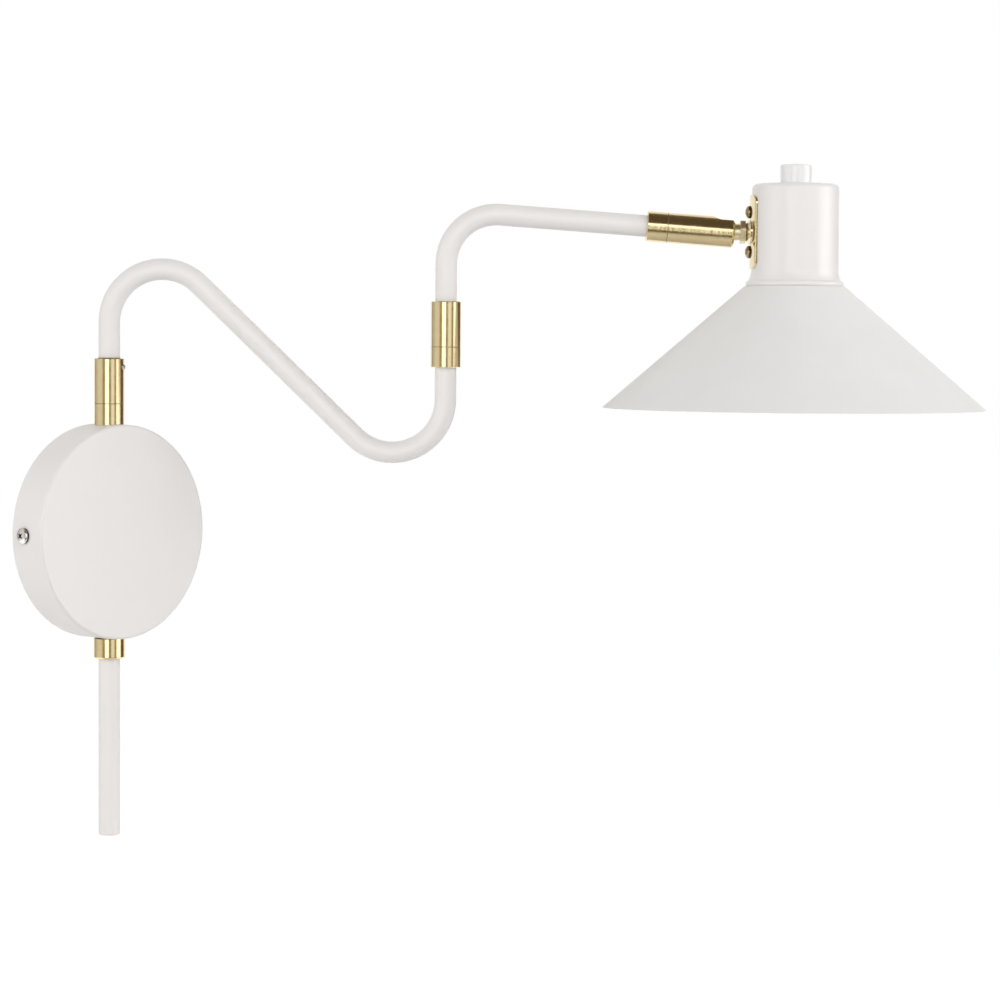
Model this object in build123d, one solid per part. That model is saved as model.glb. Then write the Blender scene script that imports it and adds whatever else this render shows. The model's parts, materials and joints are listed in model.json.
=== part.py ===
from build123d import *
import os
from math import asin, atan2, cos, degrees, hypot, radians, sin, sqrt, tan

# Swing arm wall sconce, millimetres.
# Frame: origin at the centre of the canopy's back face on the wall, +Z up, +Y into the wall,
# +X to the right for a viewer facing the wall. Each arm lies in its own vertical plane.

# --- Fits ---
SCREW_CLEAR = 0.1          # radial clearance of a screw or nipple in a plain hole
THREAD_CLEAR = 0.02        # the same where the two are threaded together
TUBE_FIT = 0.05            # radial clearance of a tube in its socket
RUNNING_FIT = 0.05         # radial clearance of parts that turn in each other

# --- Canopy and wall fixing ---
CANOPY_R = 63.5            # 127 mm round canopy
CANOPY_DEPTH = 25.5
CANOPY_WALL = 1.2
CANOPY_EDGE_R = 1.6        # rounded front edge
AXIS_OUT = 12.0            # collars and nipples stand this far out from the wall
BRACKET_HALF = 61.0        # half length of the wall bracket, over its ears
BRACKET_W = 22.0
BRACKET_T = 1.5
EAR_W = 16.0
EAR_DEPTH = 17.0
SLOT_SPACING = 79.0        # centres of the two wall slots
SLOT_LENGTH = 24.0
SLOT_R = 2.4
SIDE_SCREW_OUT = 10.3      # canopy side screws, distance from the wall
SIDE_SCREW_R = 2.4
SIDE_SCREW_LENGTH = 8.0
SIDE_HEAD_R = 4.7
SIDE_HEAD_H = 3.0
EARTH_X = 22.0             # earth screw, to the side of the bracket's middle
EARTH_R = 2.0
EARTH_HEAD_R = 3.8
EARTH_HEAD_H = 2.2
EARTH_GAP = 3.0            # room under the head for a wire's ring
EARTH_CUP_R = 4.2
EARTH_CUP_T = 1.0

# --- Terminal block on the bracket ---
BLOCK_W, BLOCK_D, BLOCK_H = 16.0, 10.0, 26.0
BLOCK_WAY_X = 4.0          # two wire ways, to each side of the middle
BLOCK_WAY_R = 1.6
BLOCK_WELL_Z = 8.0         # screw wells, above and below the middle
BLOCK_WELL_R = 1.8
BLOCK_CLAMP_R = 1.6
BLOCK_CLAMP_LENGTH = 3.5
BLOCK_SCREW_R = 1.5
BLOCK_HEAD_R = 2.4
BLOCK_HEAD_H = 1.4

# --- Hollow threaded nipples through the canopy's rim ---
NIPPLE_R = 4.9
NIPPLE_BORE_R = 3.6
NIPPLE_IN = 10.0           # length inside the canopy
NIPPLE_OUT = 9.0           # length inside the brass collar
NUT_FLATS = 14.0
NUT_T = 2.6
SADDLE_T = 0.8             # thinnest place of the shaped washer under a nipple nut

# --- Cord grip inside the canopy ---
GRIP_R = 7.5
GRIP_H = 9.0
GRIP_GAP = 1.6             # split between the lugs
GRIP_LUG = (12.0, 8.0)     # lugs beside the ring: reach from the axis and width over both
GRIP_SCREW_R = 1.25
GRIP_SCREW_X = 9.3
GRIP_HEAD_R = 2.3
GRIP_HEAD_H = 1.4

# --- Rigid cord cover below the canopy ---
LOWER_COLLAR_R = 9.15
LOWER_COLLAR_H = 12.0
LOWER_COLLAR_EDGE_R = 1.2
COVER_SOCKET = 3.4         # how far the cover tube enters the lower collar
COVER_SCREW_R = 1.25
COVER_BOTTOM = -181.2
COVER_END_R = 0.9          # rounded lower end of the tube
BUSHING_BORE_R = 3.4       # clears a 6.5 mm cord
BUSHING_H = 10.0

# --- Tubes and two-part turning collars ---
TUBE_R = 6.35              # 12.7 mm tube
TUBE_WALL = 1.0
COLLAR_R = 8.85
COLLAR_CHAMFER = 0.35
BASE_H = 11.9              # fixed lower part of a collar
WASHER_T = 0.3             # friction washer in the seam
SLEEVE_H = 26.6            # turning upper part of a collar
SPIGOT_R = 6.9
SPIGOT_H = 8.6             # spigot height above the base
SPIGOT_ROOM = 9.3          # depth of the sleeve's wide bore over the spigot
WIRE_BORE_R = 4.0
GROOVE_R = 5.5             # groove in the spigot for the pivot screw's point
GROOVE_LOW = 3.3           # groove limits above the base
GROOVE_HIGH = 6.5
PIVOT_SCREW_R = 1.2
TUBE_SOCKET = 8.0          # how far a tube enters a collar base
TUBE_START = 25.2          # lower end of a tube in a turning sleeve, above the collar's foot
SET_SCREW_R = 1.5
SET_SCREW_DROP = 5.0       # set screw, below the top of its sleeve
SET_SCREW_PROUD = 0.75
SET_SCREW_TURN = -12.0     # first arm's set screw, degrees from the arm's direction
HIDDEN_TURN = 118.0        # the other grub screws sit on the side away from the room
END_PIVOT_TURN = 90.0      # end collar's pivot screw, on the side away from the room
SCREW_SUNK = 0.3           # the other grub screws sit this far below the surface

# --- First arm: up, over, down at a slant and up again ---
ARM1_AZ = -50.0            # direction of the first arm seen from above, 0 is along +X
ARM1_REACH = 199.2
ARM1_BEND_R = 31.5
ARM1_CREST = 155.3         # tube centre at the top of the first bend
ARM1_TROUGH = 48.2         # tube centre at the bottom of the second bend
UPPER_COLLAR_Z = 63.7
MIDDLE_COLLAR_Z = 98.6

# --- Second arm: up and out, sloping down a little ---
ARM2_AZ = -48.0
ARM2_BEND_R = 29.3
ARM2_DROOP = 4.0           # degrees below level
END_COLLAR_X = 117.9       # where the end collar starts, from the middle collar's axis
END_LENGTH = 51.5          # end collar, base and swivel sleeve together

# --- Ball swivel ---
BALL_X = 161.8             # ball centre, from the middle collar's axis
BALL_Z = 179.5
BALL_R = 6.85
BALL_CHAMBER_R = 6.95
BALL_LIP_R = 5.3           # mouth of the sleeve, inside and outside edge
BALL_LIP_OUT_R = 6.2
SLEEVE_END_CHAMFER = 1.2
STEM_R = 4.6
STEM_BORE_R = 2.6
STEM_SLOT_R = 5.25         # half width of the slot that lets the stem tilt up
STEM_END_X = -18.9         # inner end of the stem, from the head's axis
STEM_SHOULDER_R = 4.95     # thicker part of the stem, between the ball and the ring nut
STEM_SHOULDER_START = 7.0  # where it begins, from the ball's centre
SEAT_LENGTH = 8.0
SEAT_WRAP = 1.8            # how far the seat reaches over the ball
SEAT_FIT = 0.08
SPRING_COUNT = 4
SPRING_T = 0.6
SPRING_GAP = 0.3           # clearance of the springs at both diameters
RING_NUT_R = 6.9
RING_NUT_T = 3.0
RING_NUT_X = -32.6         # near face of the ring nut, from the head's axis
STEM_WASHER_R = 5.1
INNER_WASHER_R = 6.4
INNER_WASHER_T = 0.5
INNER_NUT_FLATS = 13.0
INNER_NUT_T = 2.3

# --- Head: neck, shade and plate ---
HEAD_X = 205.6             # head axis, from the middle collar's axis
NECK_R = 25.6
NECK_WALL = 1.0
NECK_TOP = 207.8
NECK_EDGE_R = 3.0
NECK_FLARE_Z = 158.3       # where the neck starts to flare
NECK_FLARE_R = 27.3
NECK_FLARE_END = 151.1
NECK_BEAD_R = 28.9         # bead at the neck's foot, at its widest
NECK_FOOT_R = 28.3
SHADE_TOP = 147.6
SHADE_TOP_R = 29.7
SHADE_RIM_Z = 75.7
SHADE_RIM_R = 112.8
SHADE_WALL = 0.8
SHADE_HOLE_R = 20.2
PLATE_H, PLATE_W = 43.4, 22.0
PLATE_T = 1.3              # thickness of the sheet, which is curved round the neck
PLATE_DEPTH = 4.3          # from its front to past its long sides, which curve back
PLATE_CORNER_R = 5.0
PLATE_CHAMFER = 0.3
PLATE_BOSS_R = 7.4
PLATE_BOSS_TIP_R = 5.5
PLATE_BOSS_H = 2.1
PLATE_BOSS_ROOT = 1.1      # how far the boss runs on into the curved sheet
PLATE_SCREW_RISE = 11.7    # plate screws, above and below the stem
PLATE_SCREW_R = 1.75
PLATE_SCREW_LENGTH = 7.4
PLATE_HEAD_R = 3.75
PLATE_HEAD_H = 2.7
PLATE_NUT_FLATS = 6.0
PLATE_NUT_T = 2.2
STEM_HOLE_CLEAR = 0.6      # stem hole in the neck and the strap

# --- Socket strap inside the neck ---
STRAP_T = 1.2
STRAP_W = 14.0
STRAP_X = -23.2            # outer face of the strap's upright leg
STRAP_LOW = 161.3
STRAP_TOP = 196.3
STRAP_END_X = 9.0

# --- Lamp socket, for a medium screw base ---
SOCKET_MOUTH = 140.4
SOCKET_R = 18.0
SOCKET_THREAD_R = 19.9
SOCKET_FLANGE_R = 23.8
SOCKET_FLANGE_T = 2.0
SOCKET_SHOULDER = 185.4
SOCKET_CAP_R = 8.0
SOCKET_NUT_T = 2.2
SHELL_R = 13.3             # inside of the screw shell
SHELL_T = 0.6
SHELL_LOW = 142.4
SHELL_HIGH = 164.4
CONTACT_TOP = 171.4        # roof of the contact chamber
CONTACT_WALL = 2.0         # step from the shell's seat to the contact chamber
CONTACT_X = -9.0
CONTACT_W = 5.0
CONTACT_DROP = 5.0
SHADE_NUT_R = 25.0
SHADE_NUT_T = 3.0
SHADE_NUT_NOTCH = (2.0, 5.0)

# --- Rotary switch and knob ---
SWITCH_R = 12.0
SWITCH_LOW = 199.6
SWITCH_TAB = (0.8, 5.0, 1.8)
SWITCH_TAB_X = 9.0
SWITCH_NUT_FLATS = 13.0
SWITCH_NUT_T = 1.8
BUSHING_R = 4.9
BUSHING_TOP = 210.2
SHAFT_R = 3.0
SHAFT_FLAT = 2.0           # distance of the shaft's flat from its axis
SHAFT_LOW = 202.4
SHAFT_TOP = 216.0
KNOB_R = 9.4
KNOB_BASE_R = 9.2
KNOB_LOW = 208.3
KNOB_TOP = 219.3
KNOB_EDGE_R = 1.4
KNOB_CAVITY_R = 8.2
KNOB_CAVITY_H = 3.0

# --- Places worked out from the dimensions ---
UP, DOWN = (Align.CENTER, Align.CENTER, Align.MIN), (Align.CENTER, Align.CENTER, Align.MAX)
PAST = 1.0                                    # how far a cutter runs past what it cuts
MIDDLE_X = ARM1_REACH * cos(radians(ARM1_AZ))
MIDDLE_Y = -AXIS_OUT + ARM1_REACH * sin(radians(ARM1_AZ))
RUN_SLOPE = tan(radians(ARM2_DROOP))
RIM_INSIDE = CANOPY_R - CANOPY_WALL
PIVOT_SCREW_Z = BASE_H + (GROOVE_LOW + GROOVE_HIGH) / 2
SET_SCREW_Z = BASE_H + WASHER_T + SLEEVE_H - SET_SCREW_DROP
BALL_ALONG = (BALL_X - END_COLLAR_X) / cos(radians(ARM2_DROOP))   # ball centre, along the end collar
SEAT_BACK = BALL_ALONG - BALL_R + SEAT_WRAP - SEAT_LENGTH
GRIP_LOW = 0.2 - (RIM_INSIDE - NIPPLE_IN)


def run_height(x):
    """Height of the second arm's sloping centreline at a distance from the middle collar."""
    return BALL_Z + (BALL_X - x) * RUN_SLOPE


CANOPY = Location((0, -AXIS_OUT, 0))                               # axis of the nipples and collars
OUTWARD = (90, 0, 0)                                               # turns local +Z away from the wall
ARM1 = Location((0, -AXIS_OUT, 0), (0, 0, ARM1_AZ))
ARM2 = Location((MIDDLE_X, MIDDLE_Y, 0), (0, 0, ARM2_AZ))
HEAD = ARM2 * Pos(HEAD_X, 0, 0)
UPPER_COLLAR = ARM1 * Pos(0, 0, UPPER_COLLAR_Z)
MIDDLE_COLLAR = ARM2 * Pos(0, 0, MIDDLE_COLLAR_Z)
END_COLLAR = ARM2 * Location((END_COLLAR_X, 0, run_height(END_COLLAR_X)), (0, 90 + ARM2_DROOP, 0))
STEM = HEAD * Location((0, 0, BALL_Z), (0, 90, 0))                 # local +Z runs along the stem


# --- Shared shapes ---
def turned(*outline):
    """Solid of revolution about Z from (radius, height) corners."""
    return revolve(Plane.XZ * make_face(Polyline(*outline, close=True)), Axis.Z)


def turned_edges(*edges):
    """Solid of revolution about Z from joined straight and curved edges."""
    return revolve(Plane.XZ * make_face(edges), Axis.Z)


def post(radius, height):
    """Cylinder standing on z = 0."""
    return Cylinder(radius, height, align=UP)


def ring(outer, inner, height):
    """Flat ring standing on z = 0."""
    return post(outer, height) - post(inner, height)


def hex_nut(flats, hole_r, height):
    """Hexagonal nut standing on z = 0."""
    return extrude(RegularPolygon(flats / 2, 6, major_radius=False), height) - post(hole_r, height)


def cross_screw(head_r, head_h, shank_r, length):
    """Pan head screw with a cross recess: head above z = 0, shank below it."""
    rounding, recess, blade_w, blade_l = head_h * 0.6, head_h * 0.6, head_r * 0.26, head_r * 1.1
    head = post(head_r, head_h)
    head = fillet(head.edges().group_by(Axis.Z)[-1], rounding)
    for turn in (0, 90):
        head -= Location((0, 0, head_h), (0, 0, turn)) * Box(blade_l, blade_w, recess, align=DOWN)
    return head + Cylinder(shank_r, length, align=DOWN)


def grub_screw(radius, length):
    """Headless screw with a hexagon socket in its outer end, from z = 0 up."""
    key_r, key_depth = radius * 0.55, length * 0.45
    return post(radius, length) - Pos(0, 0, length - key_depth) * extrude(RegularPolygon(key_r, 6), key_depth)


def radial(height, turn=0.0):
    """Place local +Z radially outwards at a height, turned about Z from +X."""
    return Rot(0, 0, turn) * Location((0, 0, height), (0, 90, 0))


def tube_along(path):
    """Round tube whose centreline is the given joined edges."""
    start = path.edges()[0]
    section = Plane(start @ 0, z_dir=start % 0) * (Circle(TUBE_R) - Circle(TUBE_R - TUBE_WALL))
    return sweep(section, path=path)


def plate_holes(depth):
    """Cutters for the stem and both plate screws through a wall, about the stem's axis."""
    holes = Cylinder(STEM_R + STEM_HOLE_CLEAR, depth)
    for side in (-1, 1):
        holes += Pos(side * PLATE_SCREW_RISE, 0, 0) * Cylinder(PLATE_SCREW_R + SCREW_CLEAR, depth)
    return holes


# --- Turning collars ---
def collar_base(foot):
    """Fixed part of a turning collar: foot at z = 0, hollow grooved spigot on top."""
    body = post(COLLAR_R, BASE_H)
    body = chamfer(body.edges().group_by(Axis.Z)[0], COLLAR_CHAMFER)
    body += post(SPIGOT_R, BASE_H + SPIGOT_H)
    body -= Pos(0, 0, BASE_H + GROOVE_LOW) * ring(SPIGOT_R, GROOVE_R, GROOVE_HIGH - GROOVE_LOW)
    return body - post(WIRE_BORE_R, BASE_H + SPIGOT_H) - foot


def tube_foot():
    """Socket in the foot of a collar base that receives a tube's end."""
    return post(TUBE_R + TUBE_FIT, TUBE_SOCKET)


def friction_washer():
    """Thin washer in the seam of a turning collar."""
    return Pos(0, 0, BASE_H) * ring(COLLAR_R - 0.25, SPIGOT_R + SCREW_CLEAR, WASHER_T)


def pivot_hole(turn):
    """Radial hole through a sleeve's wall for its pivot screw."""
    return radial(PIVOT_SCREW_Z, turn) * post(PIVOT_SCREW_R + THREAD_CLEAR, COLLAR_R + PAST)


def pivot_screw(turn):
    """Grub screw whose point rides in the spigot's groove and holds the collar together."""
    inner = GROOVE_R + SCREW_SUNK
    length = COLLAR_R - SCREW_SUNK - inner
    return radial(PIVOT_SCREW_Z, turn) * Pos(0, 0, inner) * grub_screw(PIVOT_SCREW_R, length)


def collar_sleeve(set_screw_turn):
    """Turning part of a collar: bored for the spigot below and for the tube above."""
    low = BASE_H + WASHER_T
    body = Pos(0, 0, low) * post(COLLAR_R, SLEEVE_H)
    body = chamfer(body.edges().group_by(Axis.Z)[-1], COLLAR_CHAMFER)
    body -= Pos(0, 0, low) * post(SPIGOT_R + RUNNING_FIT, SPIGOT_ROOM)
    body -= Pos(0, 0, low) * post(TUBE_R + TUBE_FIT, SLEEVE_H)
    screw_hole = radial(SET_SCREW_Z, set_screw_turn) * post(SET_SCREW_R + THREAD_CLEAR, COLLAR_R + PAST)
    return body - pivot_hole(HIDDEN_TURN) - screw_hole


def set_screw(turn):
    """Grub screw that clamps the tube in the sleeve, standing a little proud."""
    inner = TUBE_R + TUBE_FIT
    length = COLLAR_R + SET_SCREW_PROUD - inner
    return radial(SET_SCREW_Z, turn) * Pos(0, 0, inner) * grub_screw(SET_SCREW_R, length)


# --- Canopy and wall fixing ---
def canopy_pan():
    """Round dished cover, open at the wall, bored for two nipples and two side screws."""
    r, d, t, e = CANOPY_R, CANOPY_DEPTH, CANOPY_WALL, CANOPY_EDGE_R
    k = e - t / 2
    body = Rot(*OUTWARD) * turned_edges(
        Line((0, d), (r - e, d)), CenterArc((r - e, d - e), e, 0, 90), Line((r, d - e), (r, 0)),
        Line((r, 0), (r - t, 0)), Line((r - t, 0), (r - t, d - t - k)),
        CenterArc((r - t - k, d - t - k), k, 0, 90),
        Line((r - t - k, d - t), (0, d - t)), Line((0, d - t), (0, d)))
    across = 2 * (r + PAST)
    body -= CANOPY * Cylinder(NIPPLE_R + SCREW_CLEAR, across)
    return body - Location((0, -SIDE_SCREW_OUT, 0), (0, 90, 0)) * Cylinder(SIDE_SCREW_R + SCREW_CLEAR, across)


def wall_bracket():
    """Strap on the wall with two slots, two screw holes and two bent ears for the side screws."""
    flat = Rectangle(2 * BRACKET_HALF, BRACKET_W)
    flat -= Pos(EARTH_X, 0) * Circle(EARTH_R + THREAD_CLEAR) + Circle(BLOCK_SCREW_R + THREAD_CLEAR)
    for side in (-1, 1):
        flat -= Pos(side * SLOT_SPACING / 2, 0) * SlotOverall(SLOT_LENGTH, 2 * SLOT_R)
    body = Rot(*OUTWARD) * extrude(flat, BRACKET_T)
    ear = Box(BRACKET_T, EAR_DEPTH, EAR_W, align=(Align.CENTER, Align.MAX, Align.CENTER))
    ear -= Location((0, -SIDE_SCREW_OUT, 0), (0, 90, 0)) * Cylinder(SIDE_SCREW_R + THREAD_CLEAR, EAR_W)
    for side in (-1, 1):
        body += Pos(side * (BRACKET_HALF - BRACKET_T / 2), 0, 0) * ear
    return body


def canopy_screws():
    """Two side screws that hold the canopy to the bracket's ears."""
    screw = cross_screw(SIDE_HEAD_R, SIDE_HEAD_H, SIDE_SCREW_R, SIDE_SCREW_LENGTH)
    return [Location((side * CANOPY_R, -SIDE_SCREW_OUT, 0), (0, side * 90, 0)) * screw for side in (-1, 1)]


def ground_screw():
    """Earth screw on the wall bracket, with a cup washer under its head."""
    screw = cross_screw(EARTH_HEAD_R, EARTH_HEAD_H, EARTH_R, BRACKET_T + EARTH_GAP)
    cup = ring(EARTH_CUP_R, EARTH_R, EARTH_CUP_T)
    return Location((EARTH_X, -BRACKET_T, 0), OUTWARD) * (Pos(0, 0, EARTH_GAP) * screw + cup)


def terminal_block():
    """Two-way block on the bracket: wire ways up and down, screw wells in front, fixing hole."""
    body = Box(BLOCK_W, BLOCK_H, BLOCK_D, align=UP) - post(BLOCK_SCREW_R + SCREW_CLEAR, BLOCK_D)
    for side in (-1, 1):
        body -= Location((side * BLOCK_WAY_X, 0, BLOCK_D / 2), (90, 0, 0)) * Cylinder(BLOCK_WAY_R, BLOCK_H)
        for level in (-1, 1):
            body -= Pos(side * BLOCK_WAY_X, level * BLOCK_WELL_Z, BLOCK_D / 2) * post(BLOCK_WELL_R, BLOCK_D)
    return Location((0, -BRACKET_T, 0), OUTWARD) * body


def terminal_screws():
    """Four wire clamping screws in the block."""
    screw = Pos(0, 0, BLOCK_D / 2) * grub_screw(BLOCK_CLAMP_R, BLOCK_CLAMP_LENGTH)
    return [Location((0, -BRACKET_T, 0), OUTWARD) * Pos(a * BLOCK_WAY_X, b * BLOCK_WELL_Z, 0) * screw
            for a in (-1, 1) for b in (-1, 1)]


def terminal_block_screw():
    """Screw that fixes the terminal block to the bracket."""
    screw = cross_screw(BLOCK_HEAD_R, BLOCK_HEAD_H, BLOCK_SCREW_R, BLOCK_D + BRACKET_T)
    return Location((0, -BRACKET_T - BLOCK_D, 0), OUTWARD) * screw


def nipple():
    """Hollow threaded nipple standing up through the top of the canopy's rim."""
    low = RIM_INSIDE - NIPPLE_IN
    return Pos(0, 0, low) * ring(NIPPLE_R, NIPPLE_BORE_R, CANOPY_R + NIPPLE_OUT - low)


def upper_nipple():
    """Nipple that carries the upper collar."""
    return CANOPY * nipple()


def lower_nipple():
    """Nipple that carries the lower collar."""
    return CANOPY * Rot(180, 0, 0) * nipple()


def above_and_below(shape):
    """The same piece at the top and at the bottom of the canopy."""
    return [CANOPY * shape, CANOPY * Rot(180, 0, 0) * shape]


def nut_height():
    """Height of the nipple nut's outer face, where the shaped washer starts."""
    return sqrt(RIM_INSIDE ** 2 - NUT_FLATS ** 2 / 4) - SADDLE_T


def nipple_washers():
    """Washers under the nipple nuts, shaped to the inside of the canopy's round rim."""
    blank = Pos(0, 0, nut_height()) * ring(NUT_FLATS / 2, NIPPLE_R + SCREW_CLEAR, 2 * NUT_T)
    rim = Rot(90, 0, 0) * Cylinder(RIM_INSIDE, 4 * NUT_FLATS)
    return above_and_below(blank & rim)


def nipple_nuts():
    """Nuts that clamp both nipples from inside the canopy."""
    nut = hex_nut(NUT_FLATS, NIPPLE_R + THREAD_CLEAR, NUT_T)
    return above_and_below(Pos(0, 0, nut_height() - NUT_T) * nut)


def cord_grip():
    """Split clamp above the lower nipple that takes the strain off the cord."""
    reach, lug_w = GRIP_LUG
    body = post(GRIP_R, GRIP_H) + Box(reach, lug_w, GRIP_H, align=(Align.MIN, Align.CENTER, Align.MIN))
    body -= post(BUSHING_BORE_R, GRIP_H)
    body -= Pos(GRIP_R, 0, 0) * Box(2 * GRIP_R, GRIP_GAP, GRIP_H, align=UP)
    hole = Cylinder(GRIP_SCREW_R + THREAD_CLEAR, 2 * lug_w)
    hole = Location((GRIP_SCREW_X, 0, GRIP_H / 2), OUTWARD) * hole
    return CANOPY * Pos(0, 0, GRIP_LOW) * (body - hole)


def cord_grip_screw():
    """Screw across the cord grip's lugs."""
    lug_w = GRIP_LUG[1]
    screw = cross_screw(GRIP_HEAD_R, GRIP_HEAD_H, GRIP_SCREW_R, lug_w)
    return CANOPY * Location((GRIP_SCREW_X, -lug_w / 2, GRIP_LOW + GRIP_H / 2), OUTWARD) * screw


# --- Cord cover ---
def lower_collar():
    """Brass collar under the canopy: threaded on the lower nipple, bored below for the cover tube."""
    body = Cylinder(LOWER_COLLAR_R, LOWER_COLLAR_H, align=UP)
    body = fillet(body.edges().group_by(Axis.Z)[0], LOWER_COLLAR_EDGE_R)
    body -= post(NIPPLE_R + TUBE_FIT, LOWER_COLLAR_H) + post(TUBE_R + TUBE_FIT, COVER_SOCKET)
    body -= radial(COVER_SOCKET / 2, HIDDEN_TURN) * post(COVER_SCREW_R + THREAD_CLEAR, LOWER_COLLAR_R + PAST)
    return CANOPY * Pos(0, 0, -UPPER_COLLAR_Z - LOWER_COLLAR_H) * body


def lower_collar_screw():
    """Grub screw that holds the cover tube in the lower collar."""
    inner = TUBE_R + TUBE_FIT
    screw = Pos(0, 0, inner) * grub_screw(COVER_SCREW_R, LOWER_COLLAR_R - SCREW_SUNK - inner)
    return CANOPY * radial(-UPPER_COLLAR_Z - LOWER_COLLAR_H + COVER_SOCKET / 2, HIDDEN_TURN) * screw


def cord_cover_tube():
    """Straight rigid tube that hides the first stretch of cord, rounded at its lower end."""
    length = -UPPER_COLLAR_Z - LOWER_COLLAR_H + COVER_SOCKET - COVER_BOTTOM
    body = post(TUBE_R, length)
    body = fillet(body.edges().group_by(Axis.Z)[0], COVER_END_R) - post(TUBE_R - TUBE_WALL, length)
    return CANOPY * Pos(0, 0, COVER_BOTTOM) * body


def tube_bushing():
    """Plastic bushing in the cover tube's lower end, where the cord leaves."""
    return CANOPY * Pos(0, 0, COVER_BOTTOM) * ring(TUBE_R - TUBE_WALL, BUSHING_BORE_R, BUSHING_H)


# --- Upper collar and first arm ---
def upper_collar_base():
    """Collar base screwed on the upper nipple, its foot hollowed to the canopy's round rim."""
    bore = NIPPLE_R + TUBE_FIT
    skirt = Pos(0, 0, -PAST) * ring(COLLAR_R, bore, PAST + COLLAR_CHAMFER)
    rim = Pos(0, 0, -UPPER_COLLAR_Z) * Rot(0, 0, -ARM1_AZ) * Rot(90, 0, 0) * Cylinder(CANOPY_R, 4 * COLLAR_R)
    return UPPER_COLLAR * (collar_base(post(bore, NIPPLE_OUT)) + skirt - rim)


def upper_washer():
    """Friction washer of the upper collar."""
    return UPPER_COLLAR * friction_washer()


def upper_collar_sleeve():
    """Sleeve that turns the first arm on the canopy."""
    return UPPER_COLLAR * collar_sleeve(SET_SCREW_TURN)


def upper_pivot_screw():
    """Pivot screw of the upper collar."""
    return UPPER_COLLAR * pivot_screw(HIDDEN_TURN)


def upper_set_screw():
    """Set screw that clamps the first arm's tube."""
    return UPPER_COLLAR * set_screw(SET_SCREW_TURN)


def arm_tube_1():
    """First arm: up from the upper collar, over a crest, down to a trough, up to the middle collar."""
    r, reach = ARM1_BEND_R, ARM1_REACH
    crest_z, trough_z = ARM1_CREST - r, ARM1_TROUGH + r
    width, drop = reach - 2 * r, crest_z - trough_z
    slant = atan2(drop, width) + asin(2 * r / hypot(width, drop))
    leave = (r + r * sin(slant), crest_z + r * cos(slant))
    arrive = (reach - r - r * sin(slant), trough_z - r * cos(slant))
    turn = 90 + degrees(slant)
    path = Plane.XZ * Curve([
        Line((0, UPPER_COLLAR_Z + TUBE_START), (0, crest_z)), CenterArc((r, crest_z), r, 180, -turn),
        Line(leave, arrive), CenterArc((reach - r, trough_z), r, 270 - degrees(slant), turn),
        Line((reach, trough_z), (reach, MIDDLE_COLLAR_Z + TUBE_SOCKET))])
    return ARM1 * tube_along(path)


def middle_collar_base():
    """Collar base on the first arm's outer end."""
    return MIDDLE_COLLAR * collar_base(tube_foot())


# --- Middle collar and second arm ---
def middle_washer():
    """Friction washer of the middle collar."""
    return MIDDLE_COLLAR * friction_washer()


def middle_collar_sleeve():
    """Sleeve that turns the second arm on the first."""
    return MIDDLE_COLLAR * collar_sleeve(HIDDEN_TURN)


def middle_pivot_screw():
    """Pivot screw of the middle collar."""
    return MIDDLE_COLLAR * pivot_screw(HIDDEN_TURN)


def middle_set_screw():
    """Set screw that clamps the second arm's tube."""
    return MIDDLE_COLLAR * set_screw(HIDDEN_TURN)


def arm_tube_2():
    """Second arm: up from the middle collar, one bend, and a long run with a slight droop."""
    r, droop = ARM2_BEND_R, radians(ARM2_DROOP)
    leave_x = r + r * sin(droop)
    centre_z = run_height(leave_x) - r * cos(droop)
    end_x = END_COLLAR_X + TUBE_SOCKET * cos(droop)
    path = Plane.XZ * Curve([
        Line((0, MIDDLE_COLLAR_Z + TUBE_START), (0, centre_z)),
        CenterArc((r, centre_z), r, 180, -90 - ARM2_DROOP),
        Line((leave_x, run_height(leave_x)), (end_x, run_height(end_x)))])
    return ARM2 * tube_along(path)


def end_collar_base():
    """Collar base on the second arm's outer end."""
    return END_COLLAR * collar_base(tube_foot())


# --- End collar and ball swivel ---
def end_washer():
    """Friction washer of the end collar."""
    return END_COLLAR * friction_washer()


def end_sleeve():
    """Turning sleeve that holds the ball, slotted on its upper side so the stem can tilt up."""
    low, ball = BASE_H + WASHER_T, BALL_ALONG
    body = Pos(0, 0, low) * post(COLLAR_R, END_LENGTH - low)
    body = chamfer(body.edges().group_by(Axis.Z)[-1], SLEEVE_END_CHAMFER)
    lip = ball + sqrt(BALL_CHAMBER_R ** 2 - BALL_LIP_R ** 2)
    body -= Pos(0, 0, low) * post(BALL_CHAMBER_R, ball - low) + Pos(0, 0, ball) * Sphere(BALL_CHAMBER_R)
    body -= turned(
        (0, ball), (BALL_LIP_R, ball), (BALL_LIP_R, lip), (BALL_LIP_OUT_R, END_LENGTH), (0, END_LENGTH))
    slot_align = (Align.MAX, Align.CENTER, Align.MIN)
    body -= Pos(0, 0, ball) * Box(COLLAR_R + PAST, 2 * STEM_SLOT_R, END_LENGTH - ball, align=slot_align)
    body -= radial(ball, 180) * post(STEM_SLOT_R, COLLAR_R + PAST)
    return END_COLLAR * (body - pivot_hole(END_PIVOT_TURN))


def end_pivot_screw():
    """Pivot screw of the end collar."""
    return END_COLLAR * pivot_screw(END_PIVOT_TURN)


def ball_seat():
    """Nylon seat behind the ball, hollowed to its round."""
    body = Pos(0, 0, SEAT_BACK) * ring(BALL_CHAMBER_R - SCREW_CLEAR, WIRE_BORE_R, SEAT_LENGTH)
    return END_COLLAR * (body - Pos(0, 0, BALL_ALONG) * Sphere(BALL_R + SEAT_FIT))


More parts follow.
